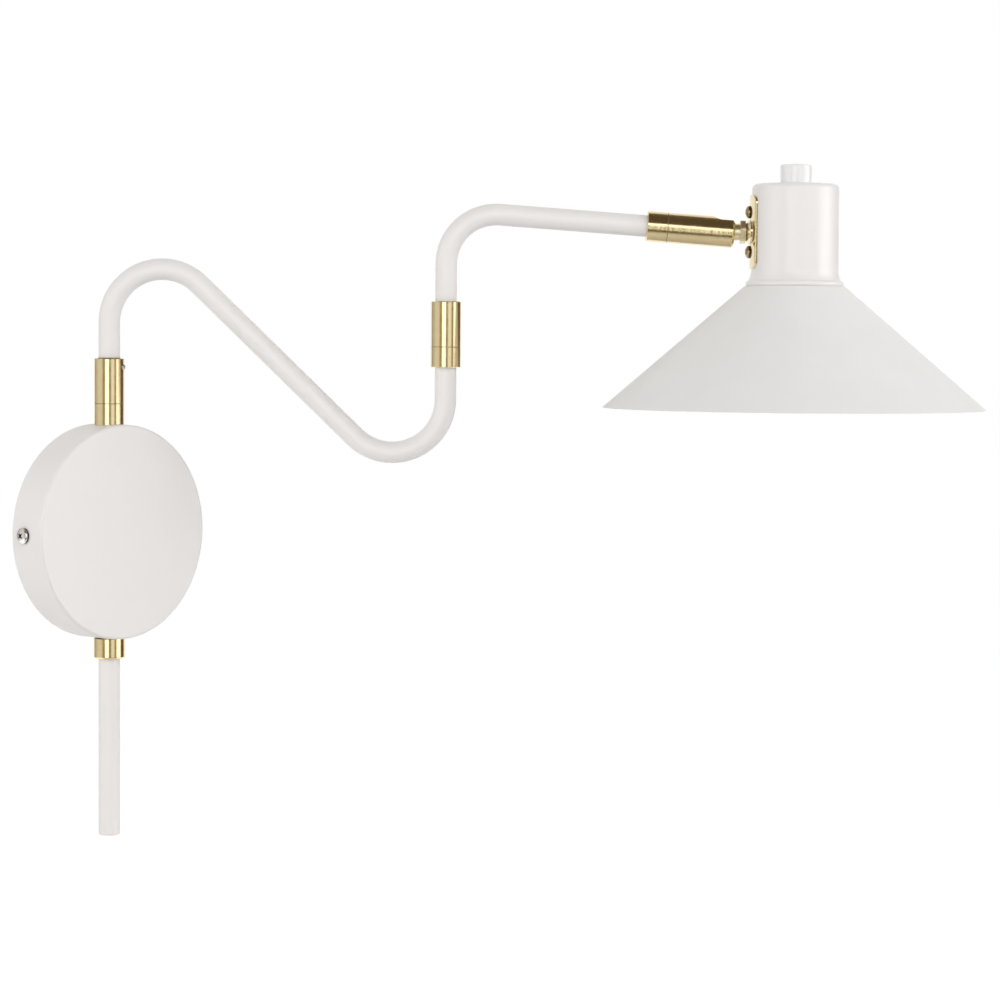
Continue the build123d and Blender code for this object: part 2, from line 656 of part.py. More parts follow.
def seat_springs():
    """Stack of conical spring washers that presses the seat against the ball."""
    start = BASE_H + SPIGOT_H + SPRING_GAP
    pitch = (SEAT_BACK - start) / SPRING_COUNT
    outer, inner, cup, t = BALL_CHAMBER_R - SPRING_GAP, WIRE_BORE_R + SPRING_GAP, pitch - SPRING_T, SPRING_T
    cupped_in = turned((inner, cup), (outer, 0), (outer, t), (inner, cup + t))
    cupped_out = turned((inner, 0), (outer, cup), (outer, cup + t), (inner, t))
    return [END_COLLAR * Pos(0, 0, start + n * pitch) * (cupped_out if n % 2 else cupped_in)
            for n in range(SPRING_COUNT)]


def ball_stem():
    """Ball with a hollow stem, shouldered before the plate, that passes through the neck's wall."""
    ball = BALL_X - HEAD_X
    length = STEM_END_X - ball
    body = Sphere(BALL_R) + post(STEM_R, length)
    body += Pos(0, 0, STEM_SHOULDER_START) * post(STEM_SHOULDER_R, RING_NUT_X - ball - STEM_SHOULDER_START)
    return STEM * Pos(0, 0, ball) * (body - Cylinder(STEM_BORE_R, 4 * length))


def ring_nut():
    """Hexagonal nut with rounded corners on the stem, outside the plate."""
    corner_r = RING_NUT_R * 1.06
    body = extrude(RegularPolygon(corner_r, 6), RING_NUT_T) & post(RING_NUT_R, RING_NUT_T)
    return STEM * Location((0, 0, RING_NUT_X), (0, 0, 15)) * (body - post(STEM_R + THREAD_CLEAR, RING_NUT_T))


def stem_washer():
    """Friction washer between the ring nut and the plate's boss."""
    start = RING_NUT_X + RING_NUT_T
    thickness = -NECK_R - PLATE_T - PLATE_BOSS_H - start
    return STEM * Pos(0, 0, start) * ring(STEM_WASHER_R, STEM_R + THREAD_CLEAR, thickness)


def stem_inner_nut():
    """Washer-faced nut on the stem's inner end, inside the neck."""
    hole_r = STEM_R + THREAD_CLEAR
    nut = Pos(0, 0, INNER_WASHER_T) * hex_nut(INNER_NUT_FLATS, hole_r, INNER_NUT_T)
    return STEM * Pos(0, 0, STRAP_X + STRAP_T) * (ring(INNER_WASHER_R, hole_r, INNER_WASHER_T) + nut)


# --- Head ---
def mounting_plate():
    """Polished sheet, curved round the neck, with a boss and two screw holes."""
    neck_axis = Location((0, 0, NECK_R + PLATE_T), (0, 90, 0))
    body = extrude(RectangleRounded(PLATE_H, PLATE_W, PLATE_CORNER_R), PLATE_DEPTH)
    body &= neck_axis * Cylinder(NECK_R + PLATE_T, 2 * PLATE_H)
    body = chamfer(body.faces().sort_by(Axis.Z)[0].edges(), PLATE_CHAMFER)
    body -= neck_axis * Cylinder(NECK_R + TUBE_FIT, 2 * PLATE_H)
    body += Pos(0, 0, -PLATE_BOSS_H) * turned(
        (0, 0), (PLATE_BOSS_TIP_R, 0), (PLATE_BOSS_R, PLATE_BOSS_H),
        (PLATE_BOSS_R, PLATE_BOSS_H + PLATE_BOSS_ROOT), (0, PLATE_BOSS_H + PLATE_BOSS_ROOT))
    depth = 2 * (PLATE_BOSS_H + PLATE_T)
    body -= Cylinder(STEM_R + RUNNING_FIT, 2 * depth)
    for side in (-1, 1):
        body -= Pos(side * PLATE_SCREW_RISE, 0) * Cylinder(PLATE_SCREW_R + SCREW_CLEAR, depth)
    return STEM * Pos(0, 0, -NECK_R - PLATE_T) * body


def plate_screws():
    """Two screws through the plate, the neck and the socket strap."""
    screw = Rot(180, 0, 0) * cross_screw(PLATE_HEAD_R, PLATE_HEAD_H, PLATE_SCREW_R, PLATE_SCREW_LENGTH)
    return [STEM * Pos(side * PLATE_SCREW_RISE, 0, -NECK_R - PLATE_T) * screw for side in (-1, 1)]


def plate_nuts():
    """Nuts on the plate screws, inside the neck."""
    nut = hex_nut(PLATE_NUT_FLATS, PLATE_SCREW_R + THREAD_CLEAR, PLATE_NUT_T)
    return [STEM * Pos(side * PLATE_SCREW_RISE, 0, STRAP_X + STRAP_T) * nut for side in (-1, 1)]


def neck_cap():
    """Closed cylinder over the socket, flaring below to a bead that sits on the shade."""
    r, t, e, top = NECK_R, NECK_WALL, NECK_EDGE_R, NECK_TOP
    hole, flare_r, foot, low = BUSHING_R + SCREW_CLEAR, NECK_FLARE_R, NECK_FLARE_END, SHADE_TOP
    body = turned_edges(
        Line((hole, top), (r - e, top)), CenterArc((r - e, top - e), e, 0, 90),
        Line((r, top - e), (r, NECK_FLARE_Z)),
        TangentArc((r, NECK_FLARE_Z), (flare_r, foot), tangent=(0, -1)),
        ThreePointArc((flare_r, foot), (NECK_BEAD_R, (foot + low) / 2), (NECK_FOOT_R, low)),
        Line((NECK_FOOT_R, low), (flare_r - t, low)), Line((flare_r - t, low), (flare_r - t, foot)),
        TangentArc((r - t, NECK_FLARE_Z), (flare_r - t, foot), tangent=(0, -1)),
        Line((r - t, NECK_FLARE_Z), (r - t, top - e)), CenterArc((r - e, top - e), e - t, 0, 90),
        Line((r - e, top - t), (hole, top - t)), Line((hole, top - t), (hole, top)))
    return HEAD * body - STEM * Pos(0, 0, -r) * plate_holes(8 * t)


def shade_cone():
    """Wide cone with a flat inner flange at the top, open below."""
    rise, run = SHADE_TOP - SHADE_RIM_Z, SHADE_RIM_R - SHADE_TOP_R
    across = SHADE_WALL * hypot(rise, run) / rise
    flange = SHADE_TOP - SHADE_WALL
    return HEAD * turned(
        (SHADE_HOLE_R, SHADE_TOP), (SHADE_TOP_R, SHADE_TOP), (SHADE_RIM_R, SHADE_RIM_Z),
        (SHADE_RIM_R - across, SHADE_RIM_Z), (SHADE_TOP_R - across + SHADE_WALL * run / rise, flange),
        (SHADE_HOLE_R, flange))


def shade_nut():
    """Notched ring nut on the socket's thread that clamps the shade's flange."""
    notch_l, notch_w = SHADE_NUT_NOTCH
    body = ring(SHADE_NUT_R, SOCKET_THREAD_R + TUBE_FIT, SHADE_NUT_T)
    for n in range(6):
        body -= Rot(0, 0, 60 * n) * Pos(SHADE_NUT_R, 0, 0) * Box(notch_l, notch_w, SHADE_NUT_T, align=UP)
    return HEAD * Pos(0, 0, SHADE_TOP - SHADE_WALL - SHADE_NUT_T) * body


def lamp_socket():
    """Insulating socket body: threaded nose with a flange, barrel, tapered cap, hollow for the shell."""
    top, flange_top, seat = STRAP_TOP - STRAP_T, SHADE_TOP + SOCKET_FLANGE_T, SHELL_R + SHELL_T
    nipple_r = NIPPLE_R + TUBE_FIT
    return HEAD * turned(
        (seat, SOCKET_MOUTH), (SOCKET_THREAD_R, SOCKET_MOUTH), (SOCKET_THREAD_R, SHADE_TOP),
        (SOCKET_FLANGE_R, SHADE_TOP), (SOCKET_FLANGE_R, flange_top), (SOCKET_R, flange_top),
        (SOCKET_R, SOCKET_SHOULDER), (SOCKET_CAP_R, top), (nipple_r, top), (nipple_r, SOCKET_SHOULDER),
        (STEM_BORE_R, SOCKET_SHOULDER), (STEM_BORE_R, CONTACT_TOP), (seat - CONTACT_WALL, CONTACT_TOP),
        (seat - CONTACT_WALL, SHELL_HIGH), (seat, SHELL_HIGH))


def screw_shell():
    """Thin brass shell that takes the lamp's screw base."""
    return HEAD * Pos(0, 0, SHELL_LOW) * ring(SHELL_R + SHELL_T, SHELL_R, SHELL_HIGH - SHELL_LOW)


def centre_contact():
    """Sprung contact tongue at the back of the socket."""
    leaf_t, button_r = 0.6, 2.2   # thickness of the bent leaf and radius of its contact button
    leg = Pos(CONTACT_X, 0, CONTACT_TOP) * Box(
        2 * leaf_t, CONTACT_W, CONTACT_DROP, align=(Align.MIN, Align.CENTER, Align.MAX))
    tongue = Pos(CONTACT_X, 0, CONTACT_TOP - CONTACT_DROP) * Box(
        button_r - CONTACT_X, CONTACT_W, leaf_t, align=(Align.MIN, Align.CENTER, Align.MIN))
    button = Pos(0, 0, CONTACT_TOP - CONTACT_DROP) * Cylinder(button_r, leaf_t, align=DOWN)
    return HEAD * (leg + tongue + button)


def socket_strap():
    """Bent strap inside the neck: upright leg on the plate screws, level leg over the socket."""
    corner = (Align.MIN, Align.CENTER, Align.MAX)
    body = Pos(STRAP_X, 0, STRAP_TOP) * Box(STRAP_T, STRAP_W, STRAP_TOP - STRAP_LOW, align=corner)
    body += Pos(STRAP_X, 0, STRAP_TOP) * Box(STRAP_END_X - STRAP_X, STRAP_W, STRAP_T, align=corner)
    body -= Pos(0, 0, STRAP_TOP) * Cylinder(NIPPLE_R + SCREW_CLEAR, 4 * STRAP_T)
    return HEAD * body - STEM * Pos(0, 0, STRAP_X) * plate_holes(4 * STRAP_T)


def socket_nipple():
    """Hollow nipple that hangs the socket from the strap."""
    low = SOCKET_SHOULDER + PAST
    top = STRAP_TOP + SOCKET_NUT_T + SCREW_SUNK
    return HEAD * Pos(0, 0, low) * ring(NIPPLE_R, NIPPLE_BORE_R, top - low)


def socket_nut():
    """Nut on the socket's nipple, above the strap."""
    return HEAD * Pos(0, 0, STRAP_TOP) * hex_nut(NUT_FLATS, NIPPLE_R + THREAD_CLEAR, SOCKET_NUT_T)


# --- Switch and knob ---
def switch_body():
    """Round rotary switch under the neck's top, its bushing standing up through it."""
    under = NECK_TOP - NECK_WALL
    body = Pos(0, 0, SWITCH_LOW) * post(SWITCH_R, under - SWITCH_LOW)
    body += Pos(0, 0, under) * post(BUSHING_R, BUSHING_TOP - under)
    for side in (-1, 1):
        body += Pos(side * SWITCH_TAB_X, 0, SWITCH_LOW) * Box(*SWITCH_TAB, align=DOWN)
    bore_low = SHAFT_LOW - SCREW_SUNK
    return HEAD * (body - Pos(0, 0, bore_low) * post(SHAFT_R + RUNNING_FIT, BUSHING_TOP - bore_low))


def switch_nut():
    """Thin nut that holds the switch's bushing, hidden under the knob."""
    return HEAD * Pos(0, 0, NECK_TOP) * hex_nut(SWITCH_NUT_FLATS, BUSHING_R + THREAD_CLEAR, SWITCH_NUT_T)


def shaft_shape(clear, low, top):
    """Round shaft with one flat from above the bushing up, grown by a clearance."""
    flat_z = max(low, BUSHING_TOP + PAST)
    body = Pos(0, 0, low) * post(SHAFT_R + clear, top - low)
    return body - Pos(SHAFT_FLAT + clear, 0, flat_z) * Box(
        SHAFT_R, 4 * SHAFT_R, top - flat_z, align=(Align.MIN, Align.CENTER, Align.MIN))


def switch_shaft():
    """Turning shaft with a flat for the knob."""
    return HEAD * shaft_shape(0.0, SHAFT_LOW, SHAFT_TOP)


def knob():
    """Round turning knob: rounded top, hollow below over the nut, bored with a flat for the shaft."""
    r, e, base_r = KNOB_R, KNOB_EDGE_R, KNOB_BASE_R
    body = turned_edges(
        Line((0, KNOB_LOW), (base_r, KNOB_LOW)), Line((base_r, KNOB_LOW), (r, KNOB_TOP - e)),
        CenterArc((r - e, KNOB_TOP - e), e, 0, 90), Line((r - e, KNOB_TOP), (0, KNOB_TOP)),
        Line((0, KNOB_TOP), (0, KNOB_LOW)))
    body -= Pos(0, 0, KNOB_LOW) * post(KNOB_CAVITY_R, KNOB_CAVITY_H)
    return HEAD * (body - shaft_shape(RUNNING_FIT, KNOB_LOW, SHAFT_TOP + SCREW_SUNK))


NODES = [
    canopy_pan, wall_bracket, canopy_screws, ground_screw, terminal_block, terminal_screws,
    terminal_block_screw, upper_nipple, lower_nipple, nipple_washers, nipple_nuts, cord_grip,
    cord_grip_screw, lower_collar, lower_collar_screw, cord_cover_tube, tube_bushing,
    upper_collar_base, upper_washer, upper_collar_sleeve, upper_pivot_screw, upper_set_screw,
    arm_tube_1, middle_collar_base, middle_washer, middle_collar_sleeve, middle_pivot_screw,
    middle_set_screw, arm_tube_2, end_collar_base, end_washer, end_sleeve, end_pivot_screw,
    ball_seat, seat_springs, ball_stem, ring_nut, stem_washer, stem_inner_nut, mounting_plate,
    plate_screws, plate_nuts, neck_cap, shade_cone, shade_nut, lamp_socket, screw_shell,
    centre_contact, socket_strap, socket_nipple, socket_nut, switch_body, switch_nut,
    switch_shaft, knob,
]


def write_parts():
    """Write one STEP file for each node, a group of separate solids where a node has several."""
    os.makedirs("parts", exist_ok=True)
    for make in NODES:
        shape = make()
        if isinstance(shape, list):
            shape = Compound(children=[piece.solid() for piece in shape])
        export_step(shape, f"parts/{make.__name__}.step")


write_parts()
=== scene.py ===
"""Looks of a swing arm wall sconce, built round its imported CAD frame."""

import json
import logging
import math
from dataclasses import dataclass, replace
from enum import Enum
from typing import Any, Callable, Optional, Sequence

import bmesh
import bpy
from mathutils import Matrix, Vector


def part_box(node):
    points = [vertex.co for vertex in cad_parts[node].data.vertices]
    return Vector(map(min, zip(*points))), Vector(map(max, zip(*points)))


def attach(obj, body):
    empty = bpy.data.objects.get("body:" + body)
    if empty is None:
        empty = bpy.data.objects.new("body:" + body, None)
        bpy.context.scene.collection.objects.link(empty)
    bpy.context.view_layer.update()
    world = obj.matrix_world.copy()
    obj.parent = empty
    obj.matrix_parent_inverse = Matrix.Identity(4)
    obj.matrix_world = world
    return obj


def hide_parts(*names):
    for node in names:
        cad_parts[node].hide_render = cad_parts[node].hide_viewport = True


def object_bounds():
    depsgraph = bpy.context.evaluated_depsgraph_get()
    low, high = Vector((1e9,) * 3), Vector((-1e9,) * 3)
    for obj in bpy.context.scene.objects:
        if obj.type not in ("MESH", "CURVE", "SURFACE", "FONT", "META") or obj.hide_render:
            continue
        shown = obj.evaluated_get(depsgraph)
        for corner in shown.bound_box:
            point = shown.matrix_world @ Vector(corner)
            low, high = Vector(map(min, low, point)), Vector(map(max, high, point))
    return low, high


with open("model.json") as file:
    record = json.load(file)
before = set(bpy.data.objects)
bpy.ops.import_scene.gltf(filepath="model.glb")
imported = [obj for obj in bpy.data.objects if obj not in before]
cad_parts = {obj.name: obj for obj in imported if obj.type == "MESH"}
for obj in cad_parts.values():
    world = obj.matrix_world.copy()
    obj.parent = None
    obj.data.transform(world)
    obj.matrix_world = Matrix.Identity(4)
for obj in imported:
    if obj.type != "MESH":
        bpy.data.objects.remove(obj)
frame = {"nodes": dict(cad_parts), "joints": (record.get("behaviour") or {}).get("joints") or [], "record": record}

CAD_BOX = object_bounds()
LOG = logging.getLogger("sconce")
MM = 0.001
WHITE = (1.0, 1.0, 1.0, 1.0)
JOINTS = {joint["name"]: joint for joint in frame["joints"]}
SLOT_OF = {part["node"]: part["material_slot"] for part in frame["record"]["subparts"]}
Point = Sequence[float]


class Body(str, Enum):
    """Bodies of the frame that the pieces made here ride on."""

    WALL_BASE = "wall_base"
    ARM_1 = "arm_1"
    ARM_2 = "arm_2"
    HEAD = "head"


class Along(Enum):
    """Directions in which a metal piece was turned on the lathe."""

    UPRIGHT = "upright"
    END_COLLAR = "end_collar"
    STEM = "stem"
    NONE = "none"


def linear(red: int, green: int, blue: int) -> tuple[float, float, float, float]:
    """Turn a display colour into the linear colour that shaders take.

    Args:
        red: Red from 0 to 255.
        green: Green from 0 to 255.
        blue: Blue from 0 to 255.

    Returns:
        Linear red, green and blue, with an alpha of 1.
    """
    shades = (red / 255, green / 255, blue / 255)
    parts = [c / 12.92 if c <= 0.04045 else ((c + 0.055) / 1.055) ** 2.4 for c in shades]
    return (*parts, 1.0)


def middle_of(node: str) -> Vector:
    """Centre of a CAD node's box."""
    low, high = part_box(node)
    return (low + high) / 2


def joint_place(name: str) -> tuple[Vector, Vector]:
    """Place and direction of a joint's axis at rest."""
    joint = JOINTS[name]
    return Vector(joint["pos_m"]), Vector(joint["axis"]).normalized()


def turned_to(direction: Vector, place: Vector) -> Matrix:
    """Matrix that carries local Z to a direction, at a place."""
    return Matrix.Translation(place) @ direction.to_track_quat("Z", "Y").to_matrix().to_4x4()


# ---------------------------------------------------------------- node trees

# Numbers of the sockets that a Mix node shows when it mixes colours.
MIX_FACTOR = 0
MIX_FIRST = 6
MIX_SECOND = 7
MIX_RESULT = 2


class Graph:
    """Adds and joins the nodes of one node tree."""

    def __init__(self, tree: bpy.types.NodeTree) -> None:
        """Start on a tree."""
        self.tree = tree

    def add(self, kind: str, inputs: Optional[dict[Any, Any]] = None,
            **settings: Any) -> bpy.types.Node:
        """Add a node, set its properties, and set or join its inputs.

        Args:
            kind: Type name of the node.
            inputs: Values or output sockets, by input name or number.
            **settings: Properties of the node itself.

        Returns:
            The new node.
        """
        node = self.tree.nodes.new(kind)
        for key, value in settings.items():
            setattr(node, key, value)
        for key, value in (inputs or {}).items():
            if isinstance(value, bpy.types.NodeSocket):
                self.tree.links.new(value, node.inputs[key])
            else:
                node.inputs[key].default_value = value
        return node

    def math(self, operation: str, first: Any, second: Any = 0.0,
             third: Any = 0.0) -> bpy.types.NodeSocket:
        """Add a Math node and return its value."""
        node = self.add("ShaderNodeMath", {0: first, 1: second, 2: third}, operation=operation)
        return node.outputs[0]

    def ramp(self, value: Any, low: float, high: float, to_low: Any = 0.0,
             to_high: Any = 1.0) -> bpy.types.NodeSocket:
        """Map a value from one clamped range to another."""
        inputs = {"Value": value, "From Min": low, "From Max": high, "To Min": to_low, "To Max": to_high}
        return self.add("ShaderNodeMapRange", inputs).outputs["Result"]

    def blend(self, factor: Any, first: Any, second: Any) -> bpy.types.NodeSocket:
        """Mix two colours and return the result."""
        inputs = {MIX_FACTOR: factor, MIX_FIRST: first, MIX_SECOND: second}
        return self.add("ShaderNodeMix", inputs, data_type="RGBA").outputs[MIX_RESULT]

    def link(self, source: bpy.types.NodeSocket, node: bpy.types.Node, name: str) -> None:
        """Join a source to a node's named input."""
        self.tree.links.new(source, node.inputs[name])


def empty_graph(owner: Any) -> Graph:
    """Clear the node tree of a material or a world.

    Args:
        owner: The material or the world.

    Returns:
        The graph of its empty tree.
    """
    owner.use_nodes = True
    owner.node_tree.nodes.clear()
    return Graph(owner.node_tree)


def add_input(tree: bpy.types.NodeTree, label: str, kind: str, default: Any) -> None:
    """Give a tree a named input.

    Args:
        tree: The node tree.
        label: Name of the input.
        kind: Type of the input, such as Float.
        default: Its value until one is given, or None.
    """
    socket = tree.interface.new_socket(label, in_out="INPUT", socket_type="NodeSocket" + kind)
    if default is not None:
        socket.default_value = default


class ShaderGroup:
    """A shader effect that several finishes use, kept as one node group."""

    made: dict[str, bpy.types.NodeTree] = {}

    @classmethod
    def get(cls, name: str, inputs: dict[str, tuple[str, Any]], outputs: dict[str, str],
            build: Callable[[Graph, Any, Any], None]) -> bpy.types.NodeTree:
        """Return the named group, building it the first time.

        Args:
            name: Name of the group.
            inputs: Socket type and default of each input, by name.
            outputs: Socket type of each output, by name.
            build: Function that fills the tree between its input and output nodes.

        Returns:
            The shader node group.
        """
        if name not in cls.made:
            tree = bpy.data.node_groups.new(name, "ShaderNodeTree")
            for label, (kind, default) in inputs.items():
                add_input(tree, label, kind, default)
            for label, kind in outputs.items():
                tree.interface.new_socket(label, in_out="OUTPUT", socket_type="NodeSocket" + kind)
            graph = Graph(tree)
            build(graph, graph.add("NodeGroupInput"), graph.add("NodeGroupOutput"))
            cls.made[name] = tree
        return cls.made[name]


MOTTLE_RANGE = (0.32, 0.68)
DRIFT_RANGE = (0.35, 0.65)
DRIFT_PER_METRE = 260.0
# Share of the lines per metre, and share of the height, of the fine and the coarse rings.
RINGS = ((1.0, 0.65), (0.23, 0.35))
# Agreement of the rounded normal with the true one, where the edge mask is 0 and where it is 1.
EDGE_MASK_RANGE = (0.995, 0.86)
BEVEL_SAMPLES = 4


def surface_grain() -> bpy.types.NodeTree:
    """Fine grain of a sprayed or moulded surface, with a broad mottle under it.

    Returns:
        The node group.
    """

    def build(graph: Graph, given: Any, out: Any) -> None:
        """Fill the group.

        Args:
            graph: Graph of the group's tree.
            given: Node with the group's inputs.
            out: Node with the group's outputs.
        """
        vector = given.outputs["Vector"]
        fine = graph.add("ShaderNodeTexNoise", {
            "Vector": vector, "Scale": given.outputs["Grain per Metre"],
            "Detail": 2.0, "Roughness": 0.55})
        broad = graph.add("ShaderNodeTexNoise", {
            "Vector": vector, "Scale": given.outputs["Mottle per Metre"],
            "Detail": 3.0, "Roughness": 0.6})
        graph.link(fine.outputs[0], out, "Height")
        graph.link(graph.ramp(broad.outputs[0], *MOTTLE_RANGE), out, "Mottle")

    inputs = {"Vector": ("Vector", None), "Grain per Metre": ("Float", 900.0),
              "Mottle per Metre": ("Float", 40.0)}
    return ShaderGroup.get("Surface_Grain", inputs, {"Height": "Float", "Mottle": "Float"}, build)


def turned_lines() -> bpy.types.NodeTree:
    """Fine rings left round a turned piece, from the distance along its axis.

    Returns:
        The node group.
    """

    def build(graph: Graph, given: Any, out: Any) -> None:
        """Fill the group.

        Args:
            graph: Graph of the group's tree.
            given: Node with the group's inputs.
            out: Node with the group's outputs.
        """
        vector, lines = given.outputs["Vector"], given.outputs["Lines per Metre"]
        along = graph.add("ShaderNodeVectorMath", {0: vector, 1: given.outputs["Axis"]},
                          operation="DOT_PRODUCT").outputs["Value"]
        heights = []
        for count_share, height_share in RINGS:
            step = graph.math("MULTIPLY", along, graph.math("MULTIPLY", lines, count_share))
            ring = graph.add("ShaderNodeTexNoise", {"W": step, "Scale": 1.0, "Detail": 1.0},
                             noise_dimensions="1D")
            heights.append(graph.math("MULTIPLY", ring.outputs[0], height_share))
        drift = graph.add("ShaderNodeTexNoise", {
            "Vector": vector, "Scale": DRIFT_PER_METRE, "Detail": 2.0})
        graph.link(graph.math("ADD", *heights), out, "Height")
        graph.link(graph.ramp(drift.outputs[0], *DRIFT_RANGE), out, "Drift")

    inputs = {"Vector": ("Vector", None), "Axis": ("Vector", (0.0, 0.0, 1.0)),
              "Lines per Metre": ("Float", 9000.0)}
    return ShaderGroup.get("Turned_Lines", inputs, {"Height": "Float", "Drift": "Float"}, build)


def edge_mask() -> bpy.types.NodeTree:
    """Mask that is 1 on outer edges, from how far a rounded normal leaves the true one.

    Returns:
        The node group.
    """

    def build(graph: Graph, given: Any, out: Any) -> None:
        """Fill the group.

        Args:
            graph: Graph of the group's tree.
            given: Node with the group's inputs.
            out: Node with the group's outputs.
        """
        rounded = graph.add("ShaderNodeBevel", {"Radius": given.outputs["Width"]}, samples=BEVEL_SAMPLES)
        true = graph.add("ShaderNodeNewGeometry")
        match = graph.add("ShaderNodeVectorMath", {0: rounded.outputs[0], 1: true.outputs["Normal"]},
                          operation="DOT_PRODUCT").outputs["Value"]
        graph.link(graph.ramp(match, *EDGE_MASK_RANGE), out, "Mask")
        graph.link(rounded.outputs[0], out, "Normal")

    outputs = {"Mask": "Float", "Normal": "Vector"}
    return ShaderGroup.get("Edge_Wear", {"Width": ("Float", 0.4 * MM)}, outputs, build)


# ---------------------------------------------------------------- finishes

# Attribute and colour of painted shade: the screws' cross recesses and the dark crescent along their heads'
# upright edges.
PAINTED_SHADE = "painted_shade"
PAINTED_SHADE_COLOUR = (0.035, 0.018, 0.014, 1.0)
# Painted highlight: the pale grey that paints and plastics are lightened towards on their outer edges.
PAINTED_EDGE_HIGHLIGHT = (0.9, 0.9, 0.9, 1.0)


def new_material(name: str) -> tuple[bpy.types.Material, Graph, bpy.types.Node, bpy.types.NodeSocket]:
    """Make an empty node material.

    Args:
        name: Name of the material.

    Returns:
        The material, its graph, its Principled BSDF and the object coordinates.
    """
    material = bpy.data.materials.new(name)
    graph = empty_graph(material)
    shader = graph.add("ShaderNodeBsdfPrincipled")
    graph.add("ShaderNodeOutputMaterial", {"Surface": shader.outputs[0]})
    place = graph.add("ShaderNodeTexCoord").outputs["Object"]
    return material, graph, shader, place


@dataclass(frozen=True)
class CoatedFinish:
    """A sprayed or moulded surface: paint, enamel or plastic."""

    name: str
    colour: tuple[float, float, float, float]
    tint: tuple[float, float, float, float]
    roughness: float
    roughness_drift: float = 0.04
    grain_per_metre: float = 900.0
    grain_depth: float = 0.02 * MM
    mottle_per_metre: float = 40.0
    coat: float = 0.0
    coat_roughness: float = 0.1
    subsurface: float = 0.0
    subsurface_scale: float = 1.0 * MM
    rounding: float = 0.25 * MM
    edge_highlight_share: float = 0.35

    def build(self) -> bpy.types.Material:
        """Build the material.

        Returns:
            The new material.
        """
        material, graph, shader, place = new_material(self.name)
        grain = graph.add("ShaderNodeGroup", {
            "Vector": place, "Grain per Metre": self.grain_per_metre,
            "Mottle per Metre": self.mottle_per_metre}, node_tree=surface_grain())
        mottle = grain.outputs["Mottle"]
        body = graph.blend(mottle, self.colour, self.tint)
        bump = graph.add("ShaderNodeBump", {
            "Height": grain.outputs["Height"], "Distance": self.grain_depth})
        if self.rounding:
            edge_group = graph.add("ShaderNodeGroup", {"Width": self.rounding}, node_tree=edge_mask())
            # Painted highlight: outer edges are lightened towards a pale grey, as if they caught the light.
            edge_highlight = graph.math("MULTIPLY", edge_group.outputs["Mask"], self.edge_highlight_share)
            body = graph.blend(edge_highlight, body, PAINTED_EDGE_HIGHLIGHT)
            graph.link(edge_group.outputs["Normal"], bump, "Normal")
        rough = graph.ramp(mottle, 0.0, 1.0, self.roughness, self.roughness + self.roughness_drift)
        graph.link(body, shader, "Base Color")
        graph.link(rough, shader, "Roughness")
        graph.link(bump.outputs[0], shader, "Normal")
        shader.inputs["Coat Weight"].default_value = self.coat
        shader.inputs["Coat Roughness"].default_value = self.coat_roughness
        shader.inputs["Subsurface Weight"].default_value = self.subsurface
        shader.inputs["Subsurface Scale"].default_value = self.subsurface_scale
        return material


@dataclass(frozen=True)
class MetalFinish:
    """Bare or lacquered metal, turned on a lathe or drawn."""

    name: str
    colour: tuple[float, float, float, float]
    shade: tuple[float, float, float, float]
    roughness: float
    roughness_drift: float = 0.06
    along: Along = Along.NONE
    lines_per_metre: float = 9000.0
    line_depth: float = 0.0
    lines_in_tone: float = 0.45
    drift_in_tone: float = 0.35
    edge_polish: float = 0.25
    edge_brightness: float = 1.15
    rounding: float = 0.2 * MM

    def axis(self) -> tuple[float, float, float]:
        """Find the direction of the piece's own axis.

        Returns:
            The direction, of length 1.
        """
        if self.along is Along.END_COLLAR:
            return tuple(joint_place("sleeve_twist")[1])
        if self.along is Along.STEM:
            return tuple(joint_place("head_turn")[1])
        return (0.0, 0.0, 1.0)

    def build(self) -> bpy.types.Material:
        """Build the material.

        Returns:
            The new material.
        """
        material, graph, shader, place = new_material(self.name)
        lines = graph.add("ShaderNodeGroup", {
            "Vector": place, "Axis": self.axis(),
            "Lines per Metre": self.lines_per_metre}, node_tree=turned_lines())
        edge_group = graph.add("ShaderNodeGroup", {"Width": self.rounding}, node_tree=edge_mask())
        height, drift = lines.outputs["Height"], lines.outputs["Drift"]
        tone = graph.math("MULTIPLY_ADD", height, self.lines_in_tone,
                          graph.math("MULTIPLY", drift, self.drift_in_tone))
        body = graph.blend(tone, self.shade, self.colour)
        bright = tuple(min(1.0, c * self.edge_brightness) for c in self.colour[:3]) + (1.0,)
        edge = graph.math("MULTIPLY", edge_group.outputs["Mask"], self.edge_polish)
        polished = graph.blend(edge, body, bright)
        # Painted shade: faces marked with the painted-shade attribute are darkened to a near-black brown.
        painted_shade = graph.add("ShaderNodeAttribute", attribute_name=PAINTED_SHADE)
        rough = graph.ramp(drift, 0.0, 1.0, self.roughness, self.roughness + self.roughness_drift)
        bump = graph.add("ShaderNodeBump", {
            "Height": height, "Distance": self.line_depth, "Normal": edge_group.outputs["Normal"]})
        graph.link(graph.blend(painted_shade.outputs["Fac"], polished, PAINTED_SHADE_COLOUR), shader, "Base Color")
        graph.link(rough, shader, "Roughness")
        graph.link(bump.outputs[0], shader, "Normal")
        shader.inputs["Metallic"].default_value = 1.0
        return material


